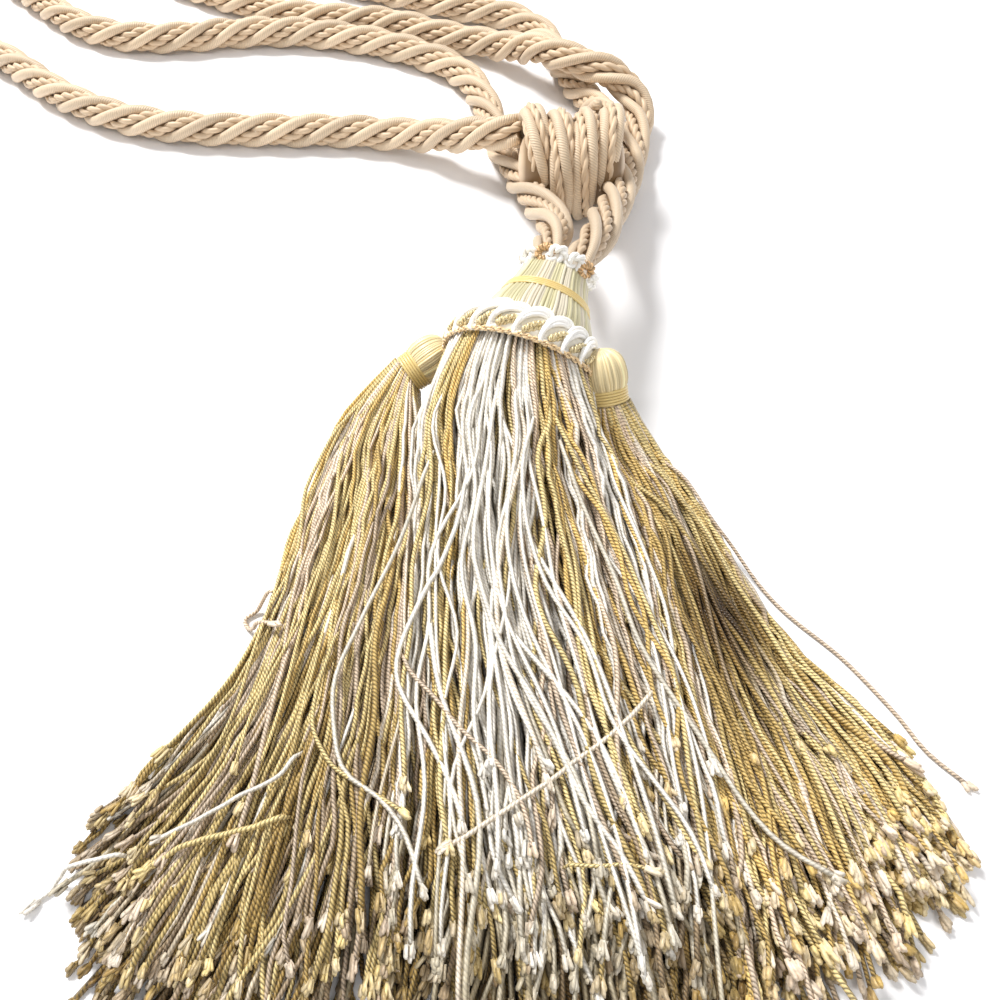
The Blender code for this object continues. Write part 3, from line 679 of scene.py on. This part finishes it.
def make_knot(materials):
    bundle = Bundle()
    turns = np.linspace(-KNOT_OVERRUN, KNOT_WRAPS - 0.5 + KNOT_OVERRUN, 900)
    stepped = np.floor(turns) + smooth_step((turns % 1 - 0.5) / 0.5)
    share = KNOT_SHARE * (2 * np.clip(stepped / (KNOT_WRAPS - 1), -0.1, 1.1) - 1)
    angle = KNOT_SEEN_FROM + math.tau * turns
    inset = TIGHT_LAY[1] + TIGHT_LAY[2]
    centre, along = spaced(knot_spot(share, angle, inset), PLY_STEP)
    same = np.ones_like(along)
    turn = -math.tau * along / KNOT_PITCH
    add_rope(bundle, centre, TIGHT_LAY, same, turn, same, np.random.default_rng(5))
    share = np.sin(np.linspace(-1.0, 1.0, 25) * math.pi / 2)
    middle = KNOT_MIDDLE + np.outer(share, (CORE_HALF_LENGTH, 0, 0))
    radii = CORE_RADIUS * np.maximum(1 - np.abs(share) ** CORE_SQUARENESS, 0.0) ** 0.5 + 0.2
    # Painted shade: the knot's core is dark between the wraps, and rope-coloured at its domed ends.
    closed = smooth_step((np.abs(share) - 0.86) / 0.1)[:, None]
    tints = tints_for(ROPE_SHADE_CORE) * (1 - closed) + tints_for(ROPE_BEAD) * closed
    bundle.tubes(middle[None], radii, 24, tints[None], look=1)
    return bundle.build("knot_wraps", materials)


def make_ropes():
    materials = [gimp_look(), satin_look("rope_satin", 0.5, Sheen_Weight=0.1)]
    knot = make_knot(materials)
    attach(knot, "knot", "rope")
    for side, route, seed in (("left", LEFT_ROUTE, 3), ("right", RIGHT_ROUTE, 4)):
        name = f"rope_{side}"
        rope, centre, length = make_rope(f"{name}_cord", route, materials, seed)
        attach(rope, name, "rope")


# ---- Head, bands, ruff and collar ----


def axes_of(direction, side):
    """A right and an up direction across an axis, with right as near to side as can be."""
    along = unit(np.asarray(direction, float))
    right = np.asarray(side, float)
    right = unit(right - along * right.dot(along))
    return right, np.cross(right, along), along


def head_frame():
    level = math.cos(HEAD_RISE)
    along = (math.sin(HEAD_YAW) * level, math.cos(HEAD_YAW) * level, math.sin(HEAD_RISE))
    return axes_of(along, (math.cos(HEAD_YAW), -math.sin(HEAD_YAW), 0.0))


def turned(foot, axes, station, radius, angle):
    """Points round an axis, from arrays of stations along it, radii and angles."""
    right, up, along = axes
    station, radius, angle = (np.asarray(a, float)[..., None] for a in (station, radius, angle))
    return foot + along * station + (right * np.cos(angle) + up * np.sin(angle)) * radius


def profile_curve(profile, count):
    """Stations and radii evenly spaced along a turned profile."""
    line = np.array([(s, r, 0.0) for s, r in profile])
    length = np.linalg.norm(line[-1] - line[0])
    smooth, _ = smooth_route(line, length / 60)
    at = np.linspace(0, len(smooth) - 1, count).round().astype(int)
    return smooth[at, 0], smooth[at, 1]


def add_bell(bundle, foot, axes, profile, colours, draw, rings):
    """A core, and silk threads side by side over it from foot to top, one for each colour."""
    count = len(colours)
    station, radius = profile_curve(profile, rings)
    angles = (np.arange(count) + THREAD_SCATTER * draw.standard_normal(count)) * math.tau / count
    lean = THREAD_LEAN * draw.standard_normal((count, 1)) * math.tau / count
    lean = lean * np.linspace(-1, 1, rings)
    thick = radius * math.pi / count * THREAD_OVERLAP
    lift = THREAD_PROUD * draw.standard_normal((count, 1))
    paths = turned(foot, axes, station[None], (radius - thick)[None] + lift, angles[:, None] + lean)
    bundle.tubes(paths, thick[None], 6, colours, spacing=6.0, look=0)
    axis = foot + axes[2] * station[:, None]
    bundle.tubes(axis[None], np.maximum(radius - 1.1 * thick, 0.2)[None], 32, colours[:1], look=0)


def add_wraps(bundle, foot, axes, profile, band):
    """A golden thread wound round a turned profile, from one station along it."""
    start, wraps, step, thick, proud = band
    turns = np.linspace(0, wraps, wraps * 40)
    station = start + turns * step
    at, radii = zip(*profile)
    radius = np.interp(station, at, radii) + proud
    paths = turned(foot, axes, station, radius, turns * math.tau)
    bundle.tubes(paths[None], thick, 6, tints_for(BAND_GOLD), spacing=6.0, look=0)


def add_cord(bundle, centre, ply, pitch, tint, spacing=1.4, look=0, sides=5):
    """Two plies twisted round a centre line."""
    twist = -math.tau * length_along(centre[None])[0] / pitch
    away = np.full(len(centre), ply * 0.9)
    plies = [wound(centre, away, twist + math.pi * j) for j in range(2)]
    bundle.tubes(plies, ply, sides, tint, spacing=spacing, look=look)


def ruff_loop(axes, angle, tall, wide, station, radius, lean, lift, count=34):
    """One flattened teardrop loop that lies on the ruff and leans over its neighbour."""
    t = np.linspace(0, math.tau, count)
    up = np.sin(t) * tall
    pinch = 0.62 + 0.38 * np.sin(t)
    side = np.cos(t) * wide * pinch + lean * (up / tall)
    at = station + up
    slope = np.interp(at, (-8.0, 2.0), (radius + 1.0, radius - 1.8))
    out = slope + lift * np.cos(t)
    return turned(HEAD_FOOT, axes, at, out, angle + side / radius)


def make_ruff(silk, metal):
    axes = head_frame()
    bundle = Bundle()
    draw = np.random.default_rng(11)
    for k in range(RUFF_LOOPS):
        angle = math.tau * (k + 0.07 * draw.standard_normal()) / RUFF_LOOPS
        tall = RUFF_TALL + 0.25 * draw.standard_normal()
        for inset, lift in RUFF_STRANDS:
            size = (tall - inset, RUFF_WIDE - inset)
            loop = ruff_loop(axes, angle, *size, RUFF_STATION, RUFF_RADIUS, RUFF_LEAN, lift)
            tint = tints_for(RUFF_WHITE, 1, draw, 0.05)
            bundle.tubes(loop[None], RUFF_STRAND_RADIUS, 8, tint, spacing=6.0)
        size = (tall - GOLD_SHORTER, GOLD_WIDE)
        lean = RUFF_LEAN * GOLD_LEAN
        loop = ruff_loop(axes, angle - 0.05, *size, GOLD_STATION, GOLD_RADIUS, lean, GOLD_LIFT)
        add_cord(bundle, loop, GOLD_PLY, GOLD_PITCH, tints_for(METAL_GOLD, 2, draw, 0.14), 1.0, look=1)
    turn = np.linspace(0, math.tau, 360)
    for shift in (0.0, math.pi):
        sway = turn * CHAIN_SWAYS + shift
        station, radius = CHAIN_STATION + CHAIN_SWAY * np.sin(sway), CHAIN_RADIUS + 0.3 * np.cos(sway)
        chain = turned(HEAD_FOOT, axes, station, radius, turn)
        add_cord(bundle, chain, 0.23, 2.0, tints_for(CHAIN_GOLD, 2, draw, 0.15), 0.9)
    add_lathe(bundle, HEAD_FOOT, axes, RUFF_CORE_PROFILE, 72, tints_for(RUFF_CORE))
    return bundle.build("ruff_loops", [silk, metal])


def add_lathe(bundle, foot, axes, profile, sides, tint):
    """An open turned band, from its profile of stations and radii."""
    station, radius = np.array(profile).T
    angle = np.linspace(0, math.tau, sides, endpoint=False)
    points = turned(foot, axes, station[:, None], radius[:, None], angle[None])
    index, quads = bundle.rings(len(station), sides)
    bundle.points.append(points.reshape(-1, 3))
    bundle.tints.append(np.broadcast_to(tint, (index.size, 4)))
    bundle.add_faces(quads, np.zeros((*quads.shape, 2)), 0)


def make_collar(silk, metal):
    axes = head_frame()
    bundle = Bundle()
    draw = np.random.default_rng(12)
    t = np.linspace(0, math.tau, 30)
    for k in range(COLLAR_LOOPS):
        angle = math.tau * (k + 0.1 * draw.standard_normal()) / COLLAR_LOOPS
        side = COLLAR_WIDE * np.cos(t) + COLLAR_LEAN * np.sin(t)
        out = COLLAR_RADIUS + COLLAR_DEEP * np.sin(t) + COLLAR_LIFT * np.cos(t)
        station = COLLAR_STATION + COLLAR_TALL * np.sin(t)
        loop = turned(HEAD_FOOT, axes, station, out, angle + side / 9.6)
        if k % 3 == 1:
            add_cord(bundle, loop, 0.66, 2.2, tints_for(COPPER, 2, draw, 0.1), 1.0, look=1)
        else:
            add_cord(bundle, loop, 0.7, 4.4, tints_for(RUFF_WHITE, 2, draw, 0.02), 2.4)
    add_lathe(bundle, HEAD_FOOT, axes, COLLAR_PROFILE, 48, tints_for(PALE_TAUPE))
    return bundle.build("collar_loops", [silk, metal])


def make_bell(names, foot, axes, profile, band, colours, draw, silk, rings=18):
    """A bell of threads and the band wound round it, as two pieces."""
    bell, wraps = Bundle(), Bundle()
    add_bell(bell, foot, axes, profile, colours, draw, rings)
    add_wraps(wraps, foot, axes, profile, band)
    return bell.build(names[0], [silk]), wraps.build(names[1], [silk])


def make_head(silk):
    draw = np.random.default_rng(10)
    colours = tints_for(IVORY, HEAD_THREADS, draw, 0.04)
    lime = np.repeat(draw.random(HEAD_THREADS // 2) < 0.5, 2)
    colours[lime] = tints_for(LIME_SILK, int(lime.sum()), draw, 0.05)
    names = ("head_threads", "head_wraps")
    return make_bell(names, HEAD_FOOT, head_frame(), HEAD_PROFILE, HEAD_BAND, colours, draw, silk)


# ---- Skirts ----


def smooth_rows(table, share):
    """The table's row at each share, on a smooth curve through its rows."""
    at, rows = table[:, 0], table[:, 1:]
    slopes = np.gradient(rows, at, axis=0)
    k = np.clip(np.searchsorted(at, share) - 1, 0, len(at) - 2)
    step = at[k + 1] - at[k]
    t = ((share - at[k]) / step)[..., None]
    step = step[..., None]
    start, end = rows[k] * (1 + 2 * t) + slopes[k] * step * t, rows[k + 1] * (3 - 2 * t)
    return start * (1 - t) ** 2 + (end - slopes[k + 1] * step * (1 - t)) * t * t


def rounded(across, over):
    """A place in the unit square as a place in a round one, of radius 1."""
    x, y = 2 * across - 1, 2 * over - 1
    return x * np.sqrt(1 - 0.5 * y * y), y * np.sqrt(1 - 0.5 * x * x)


class Skirt:
    """The space that one skirt fills, from a round root to a flat end.

    across runs from 0 at its left side to 1, over from 0 at the table to 1 at its top, and
    share from 0 at the root to 1 at the yarns' ends.
    """

    FROM = FAN[0, 0]

    def __init__(self, side, root, axes, radius, puff=0.0):
        self.side, self.root, self.axes, self.radius, self.puff = side, root, axes, radius, puff

    def edges(self, share):
        """The left and right end of each section, their heights, the crown and the bow."""
        lx, ly, dx, dy, ex, ey, rx, ry = np.moveaxis(smooth_rows(FAN, share), -1, 0)
        middle, sides, inner, outer, *bows = np.moveaxis(smooth_rows(PILE, share), -1, 0)
        if self.side == "left":
            return (lx, ly, dx, dy), outer, inner, SMALL_CROWN, bows[0]
        if self.side == "right":
            return (ex, ey, rx, ry), inner, outer, SMALL_CROWN, bows[2]
        return (dx, dy, ex, ey), sides, sides, middle - sides, bows[1]

    def swung(self, across, over, share):
        """Places across the skirt after its slow waves, and the middle skirt's swing."""
        start = FLOW_PHASES[self.side]
        sway = np.interp(share, *SWINGS[self.side]) * (SWING_LOW + (1 - SWING_LOW) * over)
        for k, (sides, lengths, layers, size) in enumerate(FLOWS):
            phase = math.tau * (sides * across + lengths * share + layers * over) + start * (k + 1)
            sway = sway + size * np.sin(phase) * smooth_step(share / WAVES_FULL)
        return across + 4 * across * (1 - across) * sway

    # The pile's painted shade and light along the yarns.
    def shade(self, share):
        return np.interp(share, SHADE_AT, SHADE_ALONG[self.side])

    def hollow(self, across, share):
        """How deep in the right skirt's hollow a place lies, from 0 to 1."""
        if self.side != "right":
            return np.zeros(np.shape(share))
        aside = (across - HOLLOW_PLACE[0]) / HOLLOW_SPREAD[0]
        ahead = (share - HOLLOW_PLACE[1]) / HOLLOW_SPREAD[1]
        return np.exp(-(aside**2) - ahead**2)

    def spots(self, across, over, share):
        (ax, ay, bx, by), low, high, crown, bow = self.edges(share)
        swell = 4 * across * (1 - across)
        length = np.hypot(bx - ax, by - ay)
        x = ax + (bx - ax) * across + bow * swell * (by - ay) / length
        y = ay + (by - ay) * across - bow * swell * (bx - ax) / length
        height = low + (high - low) * across + crown * swell
        return np.stack([x, y, height * over], -1)

    def paths(self, across, over, share):
        """Yarn paths: straight out of the root, and then along the fan."""
        across, over = (np.broadcast_to(a, share.shape) for a in (across, over))
        right, up, along = self.axes
        x, y = rounded(across[:, :1], over[:, :1])
        roots = self.root + (right * x[..., None] + up * y[..., None]) * self.radius
        start = self.spots(across, over, np.full_like(share, self.FROM))
        later = self.spots(across, over, np.full_like(share, self.FROM + 0.02))
        span = np.linalg.norm(start - roots, axis=-1, keepdims=True)
        t = np.clip(share / self.FROM, 0.0, 1.0)[..., None]
        puff = (right * x[..., None] + up * y[..., None]) * self.puff
        leave = (0.6 * (start - roots) / span - 0.4 * along) * span + puff
        arrive = (later - start) / 0.02 * self.FROM
        near = roots * (1 - t) ** 2 * (1 + 2 * t) + leave * t * (1 - t) ** 2
        near = near + start * t * t * (3 - 2 * t) - arrive * t * t * (1 - t)
        far = self.spots(across, over, np.maximum(share, self.FROM))
        return np.where(share[..., None] < self.FROM, near, far)


def eased(paths, passes=8):
    """Paths with their bends rounded off, from the same start to the same end."""
    for _ in range(passes):
        paths[:, 1:-1] = 0.5 * paths[:, 1:-1] + 0.25 * (paths[:, :-2] + paths[:, 2:])
    return paths


def waves(draw, share, size, cycles):
    """Slow sideways waves, one set for each yarn, that grow from nothing at the root."""
    count = len(share)
    total = np.zeros(share.shape)
    for cycle in cycles:
        phase = draw.random((count, 1)) * math.tau
        weight = draw.standard_normal((count, 1)) / math.sqrt(cycle)
        total += weight * (np.sin(math.tau * cycle * share + phase) - np.sin(phase) * (1 - share))
    return total * size * np.minimum(1.0, share / 0.12)


def clumped(across, share, over, clumps):
    """Yarns drawn together into locks, which drift sideways along the skirt and by layer.

    Gives each yarn's place across the skirt, and how far it lies from the middle of its lock.
    """
    drift = 2.2 * np.sin(3.1 * share + 5.0 * over) + 0.9 * np.sin(7.3 * share + 11.0 * over)
    phase = math.tau * clumps * across + drift
    squeeze = LOCK_PULL * np.minimum(1.0, share / LOCKS_FULL)
    return across + squeeze * np.sin(phase) / (math.tau * clumps), 0.5 + 0.5 * np.cos(phase)


def pile_places(grown, layers, columns, ends, draw):
    """Each yarn's place across and over the pile, and the shares of its rings along it.

    grown are the first and the next but last of the layers that are made, and ends are the shares
    at which yarns end at the bottom, in the middle and at the top of the pile.
    """
    layer, column = np.divmod(np.arange(grown[0] * columns, grown[1] * columns), columns)
    count = len(layer)
    across = (column + 0.5 * (layer % 2) + 0.25 + COLUMN_JITTER * draw.standard_normal(count)) / columns
    over = (layer + 0.5 + LAYER_JITTER * draw.standard_normal(count)) / layers
    across, over = np.clip(across, 0.004, 0.996)[:, None], np.clip(over, 0.03, 0.985)[:, None]
    end = np.interp(over, (0.0, 0.5, 1.0), ends) + END_JITTER * draw.standard_normal((count, 1))
    short = SHORT_BY * draw.random((count, 1)) * (draw.random((count, 1)) < SHORT_SHARE)
    end = np.clip(end - short, 0.6, 1.02)
    return across, over, end * ring_shares()


def ring_shares():
    """Where a yarn's rings lie along it, a little closer together towards its end."""
    return np.linspace(0, 1, YARN_RINGS)[None] ** 0.9


def wandering(across, over, share, clumps, draw):
    """How far each yarn strays across the skirt: on its own, at its end, and with its lock."""
    count = len(across)
    onset = 0.6 * draw.random((count, 1))
    reach = np.where(draw.random((count, 1)) < LOOSE_SHARE, LOOSE_REACH, CLOSE_REACH)
    cross = reach * draw.standard_normal((count, 1)) * smooth_step((share - onset) / 0.5)
    curl = (np.maximum(share - CURL_FROM, 0.0) / (1 - CURL_FROM)) ** 1.5
    cross += CURL_REACH * draw.standard_normal((count, 1)) * curl
    lock = (over * 4).astype(int) * 40 + (across * clumps * 1.6).astype(int)
    drift = smooth_step((share - 0.42) / 0.6)
    return cross + LOCK_DRIFT * draw.standard_normal(200)[lock] * drift


def add_skirt(bundle, skirt, grown, layers, columns, ends, clumps, seed):
    """Layers of yarns that fill a skirt, each yarn in a colour of its own."""
    draw = np.random.default_rng(seed)
    across, over, share = pile_places(grown, layers, columns, ends, draw)
    cross = wandering(across, over, share, clumps, draw)
    sideways, edge = clumped(across, share, over, clumps)
    place = np.clip(skirt.swung(sideways, over, share) + cross, 0.0, 1.0)
    hollow = skirt.hollow(place, share)
    dips = LOCK_DIP * edge * np.minimum(1.0, share / LOCKS_FULL)
    level = over * (1 - dips) * (1 - HOLLOW_DEPTH * hollow)
    paths = eased(skirt.paths(place, level, share))
    paths[..., 0] += waves(draw, share, *SIDE_WAVES)
    paths[..., 0] += waves(draw, share, *END_WAVES) * smooth_step((share - 0.55) / 0.4)
    paths[..., 2] += waves(draw, share, *HEIGHT_WAVES)
    looks = pick_looks(skirt.side, across[:, 0], over[:, 0], clumps, draw)
    # Painted shade and light: lower yarns darker, top ones lighter, the lowest ends darker, the pile
    # lighter or darker along its length, and painted shade in the hollow.
    shade = LOW_SHADE + (TOP_SHADE - LOW_SHADE) * over
    shade = shade - END_SHADE[skirt.side] * (1 - over) * smooth_step((share - 0.7) / 0.3)
    shade = shade * skirt.shade(share)
    add_yarns(bundle, paths, looks, shade * (1 - HOLLOW_PAINTED_SHADE * hollow), draw)


def add_flyaways(bundle, skirt, count, seed):
    """Loose yarns that come up out of the pile and wander over it."""
    draw = np.random.default_rng(seed)
    across = 0.05 + 0.9 * draw.random((count, 1))
    onset = 0.55 * draw.random((count, 1))
    share = (0.7 + 0.3 * draw.random((count, 1))) * ring_shares()
    turn = smooth_step((share - onset) / (0.25 + 0.35 * draw.random((count, 1))))
    place = across + FLYAWAY_REACH * draw.standard_normal((count, 1)) * turn
    place = np.clip(skirt.swung(place, 1.0, share), 0.0, 1.0)
    hollow = skirt.hollow(place, share)
    paths = eased(skirt.paths(place, 1 - HOLLOW_DEPTH * hollow, share))
    paths[..., 0] += waves(draw, share, *LOOSE_WAVES)
    paths[..., 2] += FLYAWAY_LIFT - FLYAWAY_SUNK * (1 - smooth_step((share - onset) / 0.12))
    looks = pick_looks(skirt.side, across[:, 0], np.ones(count), 3 * count, draw)
    # Painted shade and light along the skirt, and the hollow's painted shade.
    add_yarns(bundle, paths, looks, skirt.shade(share) * (1 - FLYAWAY_SHADE * hollow), draw)


def streak_at(side, across, over):
    """The shares of the looks at a place in a skirt. The main one is mixed under its top."""
    if side == "middle" and over < STREAKS_FROM:
        return np.array(MIXED_SHARES)
    return np.array(next(shares for edge, shares in STREAKS[side] if across < edge))


def pick_looks(side, across, over, clumps, draw):
    """One look for each yarn. Yarns of one lock mostly share the look drawn for the lock."""
    chosen, locks, looks = [], {}, SKIRT_LOOKS
    for place, level in zip(across, over):
        shares = streak_at(side, place, level)
        drawn = looks[draw.choice(len(looks), p=shares / shares.sum())]
        likely = looks[draw.choice(len(looks), p=shares**1.4 / (shares**1.4).sum())]
        lock = (int(place * clumps * 1.7 + 3.1 * math.sin(9 * level)), int(level * 4))
        usual = locks.setdefault(lock, likely)
        chosen.append(usual if draw.random() < LOCK_ALIKE else drawn)
    return chosen


def add_yarns(bundle, paths, looks, shade, draw):
    """Yarns with frayed ends. The shade, painted shade and light, darkens or lightens each ring of each
    yarn.
    """
    count = len(paths)
    thick = YARN_RADIUS * (1 + YARN_UNEVEN * draw.standard_normal((count, 1)))
    radii = thick * np.concatenate([[0.7], np.ones(YARN_RINGS - 1)])
    paths[..., 2] = np.maximum(paths[..., 2], radii)
    shade = np.broadcast_to(shade, (count, YARN_RINGS))
    shade = shade * (1 + SHADE_UNEVEN * draw.standard_normal((count, 1)))
    plain = np.array([(*look[0], look[1]) for look in looks])
    tints = plain[:, None] * np.ones((1, YARN_RINGS, 1))
    tints[..., :3] = shaded(tints[..., :3], shade[..., None])
    spacing = [look[2] for look in looks]
    bundle.tubes(paths, radii, YARN_SIDES, tints, spacing=spacing, under=YARN_UNDER_SHADE)
    add_frays(bundle, paths, plain, shade[:, -1:], draw)


def shaded(colours, shade):
    """Colours made darker and warmer by painted shade, or lighter by painted light, and kept below the
    palest.
    """
    shade = np.maximum(shade, 0.02)
    made = colours * shade ** np.where(shade < 1, SHADE_POWERS, 1.0)
    return made * np.minimum(1.0, PALEST / made.max(axis=-1, keepdims=True))


def add_frays(bundle, paths, plain, shade, draw):
    """A soft brush of loose fibres at the end of each yarn, some of them paler than the yarn."""
    count = len(paths) * FRAY_FIBRES
    pale = FRAY_PALE * draw.random((len(paths), 1)) ** 1.5
    reach = FRAY_LENGTH * (0.6 + 0.6 * draw.random((len(paths), 1)))
    paths, colours, shade, pale, reach = (
        np.repeat(a, FRAY_FIBRES, axis=0) for a in (paths[:, -2:], plain, shade, pale, reach)
    )
    tip = unit(paths[:, 1] - paths[:, 0])
    tip = unit(tip + FRAY_SPLAY * draw.standard_normal((count, 3)))
    reach = reach * (0.7 + 0.45 * draw.random((count, 1)))
    start = paths[:, 1] - 0.4 * tip + FRAY_SPREAD * draw.standard_normal((count, 3))
    bend = FRAY_BEND * reach * draw.standard_normal((count, 3))
    fibres = np.stack([start + share * reach * tip + share**2 * bend for share in FRAY_SHARES], axis=1)
    fibres[..., 2] = np.maximum(fibres[..., 2], FRAY_RADII)
    pale = np.clip(pale + 0.12 * draw.standard_normal((count, 1)), 0.0, 1.0)
    colours[:, :3] = colours[:, :3] * (1 - pale) + np.array(PALE_TAUPE[0]) * pale
    # Painted shade and light: the fibres take the painted shade of their yarn's end, a little lighter.
    colours[:, :3] = shaded(colours[:, :3], 1.1 * shade * (1 + 0.07 * draw.standard_normal((count, 1))))
    colours[:, 3] = 0.1
    bundle.tubes(fibres, FRAY_RADII, 3, colours, under=FRAY_UNDER_SHADE)


def add_strays(bundle, skirts, draw):
    """The loose yarns that stand out, each laid over the skirts along its own route."""
    across, share = np.meshgrid(np.linspace(0, 1, 41), np.linspace(0, 1, 61), indexing="ij")
    tops = np.concatenate([skirt.paths(across, 1.0, share).reshape(-1, 3) for skirt in skirts])
    paths = []
    for _, route in STRAYS:
        fine, along = smooth_route([(*point, 0.0) for point in route], 1.0)
        at = np.linspace(0, along[-1], YARN_RINGS)
        line = np.stack([np.interp(at, along, fine[:, k]) for k in range(3)], 1)
        near = np.linalg.norm(line[:, None, :2] - tops[None, :, :2], axis=-1) < STRAY_REACH
        line[:, 2] = np.where(near, tops[:, 2], 0.0).max(axis=1) + FLYAWAY_LIFT
        paths.append(line)
    paths = np.array(paths)
    flat = paths[..., :2].copy()
    paths = eased(paths, 12)
    paths[..., :2] = flat
    share = np.tile(np.linspace(0, 1, YARN_RINGS), (len(paths), 1))
    paths[..., 2] -= STRAY_SUNK * (1 - smooth_step(12 * share)) * (paths[:, :1, 2] > 3.0)
    paths[..., 0] += waves(draw, share, *STRAY_WAVES)
    shade = np.full(paths.shape[:2], STRAY_PAINTED_LIGHT)
    add_yarns(bundle, paths, [look for look, _ in STRAYS], shade, draw)


def make_skirts(yarn):
    axes = head_frame()
    root = HEAD_FOOT + axes[2] * SKIRT_START
    main = Skirt("middle", root, axes, SKIRT_RADIUS)
    smalls = {
        side: Skirt(side, np.array(neck), axes_of(direction, level), SMALL_RADIUS, SMALL_PUFF)
        for side, (neck, direction, level) in (("left", SMALL_LEFT), ("right", SMALL_RIGHT))
    }
    pieces = []
    for name, seed, layers in (("lower", 20, (0, 5)), ("upper", 21, (5, 10))):
        bundle = Bundle()
        add_skirt(bundle, main, layers, *MAIN_PILE, seed)
        if name == "upper":
            add_flyaways(bundle, main, MAIN_FLYAWAYS, 24)
            add_strays(bundle, (main, *smalls.values()), np.random.default_rng(27))
        pieces.append((bundle.build(f"skirt_yarns_{name}", [yarn]), "skirt", "skirt_yarn"))
    for side, seed in (("left", 22), ("right", 23)):
        bundle = Bundle()
        add_skirt(bundle, smalls[side], (0, SMALL_PILE[0]), *SMALL_PILE, seed)
        add_flyaways(bundle, smalls[side], SMALL_FLYAWAYS, seed + 3)
        pieces.append((bundle.build(f"small_skirt_{side}", [yarn]), None, "small_yarn"))
    return pieces


def make_small_heads(silk):
    pieces = []
    for side, (neck, direction, level), seed in (("left", SMALL_LEFT, 32), ("right", SMALL_RIGHT, 33)):
        neck, axes = np.array(neck), axes_of(direction, level)
        draw = np.random.default_rng(seed)
        colours = tints_for(SILK_GOLD, SMALL_THREADS, draw, 0.2)
        names = (f"small_head_{side}", f"small_wraps_{side}")
        head, wraps = make_bell(
            names, neck, axes, SMALL_PROFILE, SMALL_BAND, colours, draw, silk, rings=16
        )
        pieces.append((head, f"small_tassel_{side}", "small_yarn"))
        pieces.append((wraps, f"small_band_{side}", "gold_wrap"))
    return pieces


def main():
    make_camera()
    make_ropes()
    make_studio()
    silk = satin_look("silk", 0.3, Sheen_Weight=0.15)
    yarn = yarn_look("rayon_yarn", 0.36, Sheen_Weight=0.1)
    metal = yarn_look("metal_thread", 0.3, Metallic=0.2)
    threads, wraps = make_head(silk)
    pieces = [
        (threads, "tassel_head", "head_threads"),
        (wraps, "head_band", "gold_wrap"),
        (make_ruff(silk, metal), "gimp_ring", "gimp"),
        (make_collar(silk, metal), "top_collar", "gimp"),
    ]
    pieces += make_skirts(yarn) + make_small_heads(silk)
    for piece in pieces:
        attach(*piece)
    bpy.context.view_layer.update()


main()
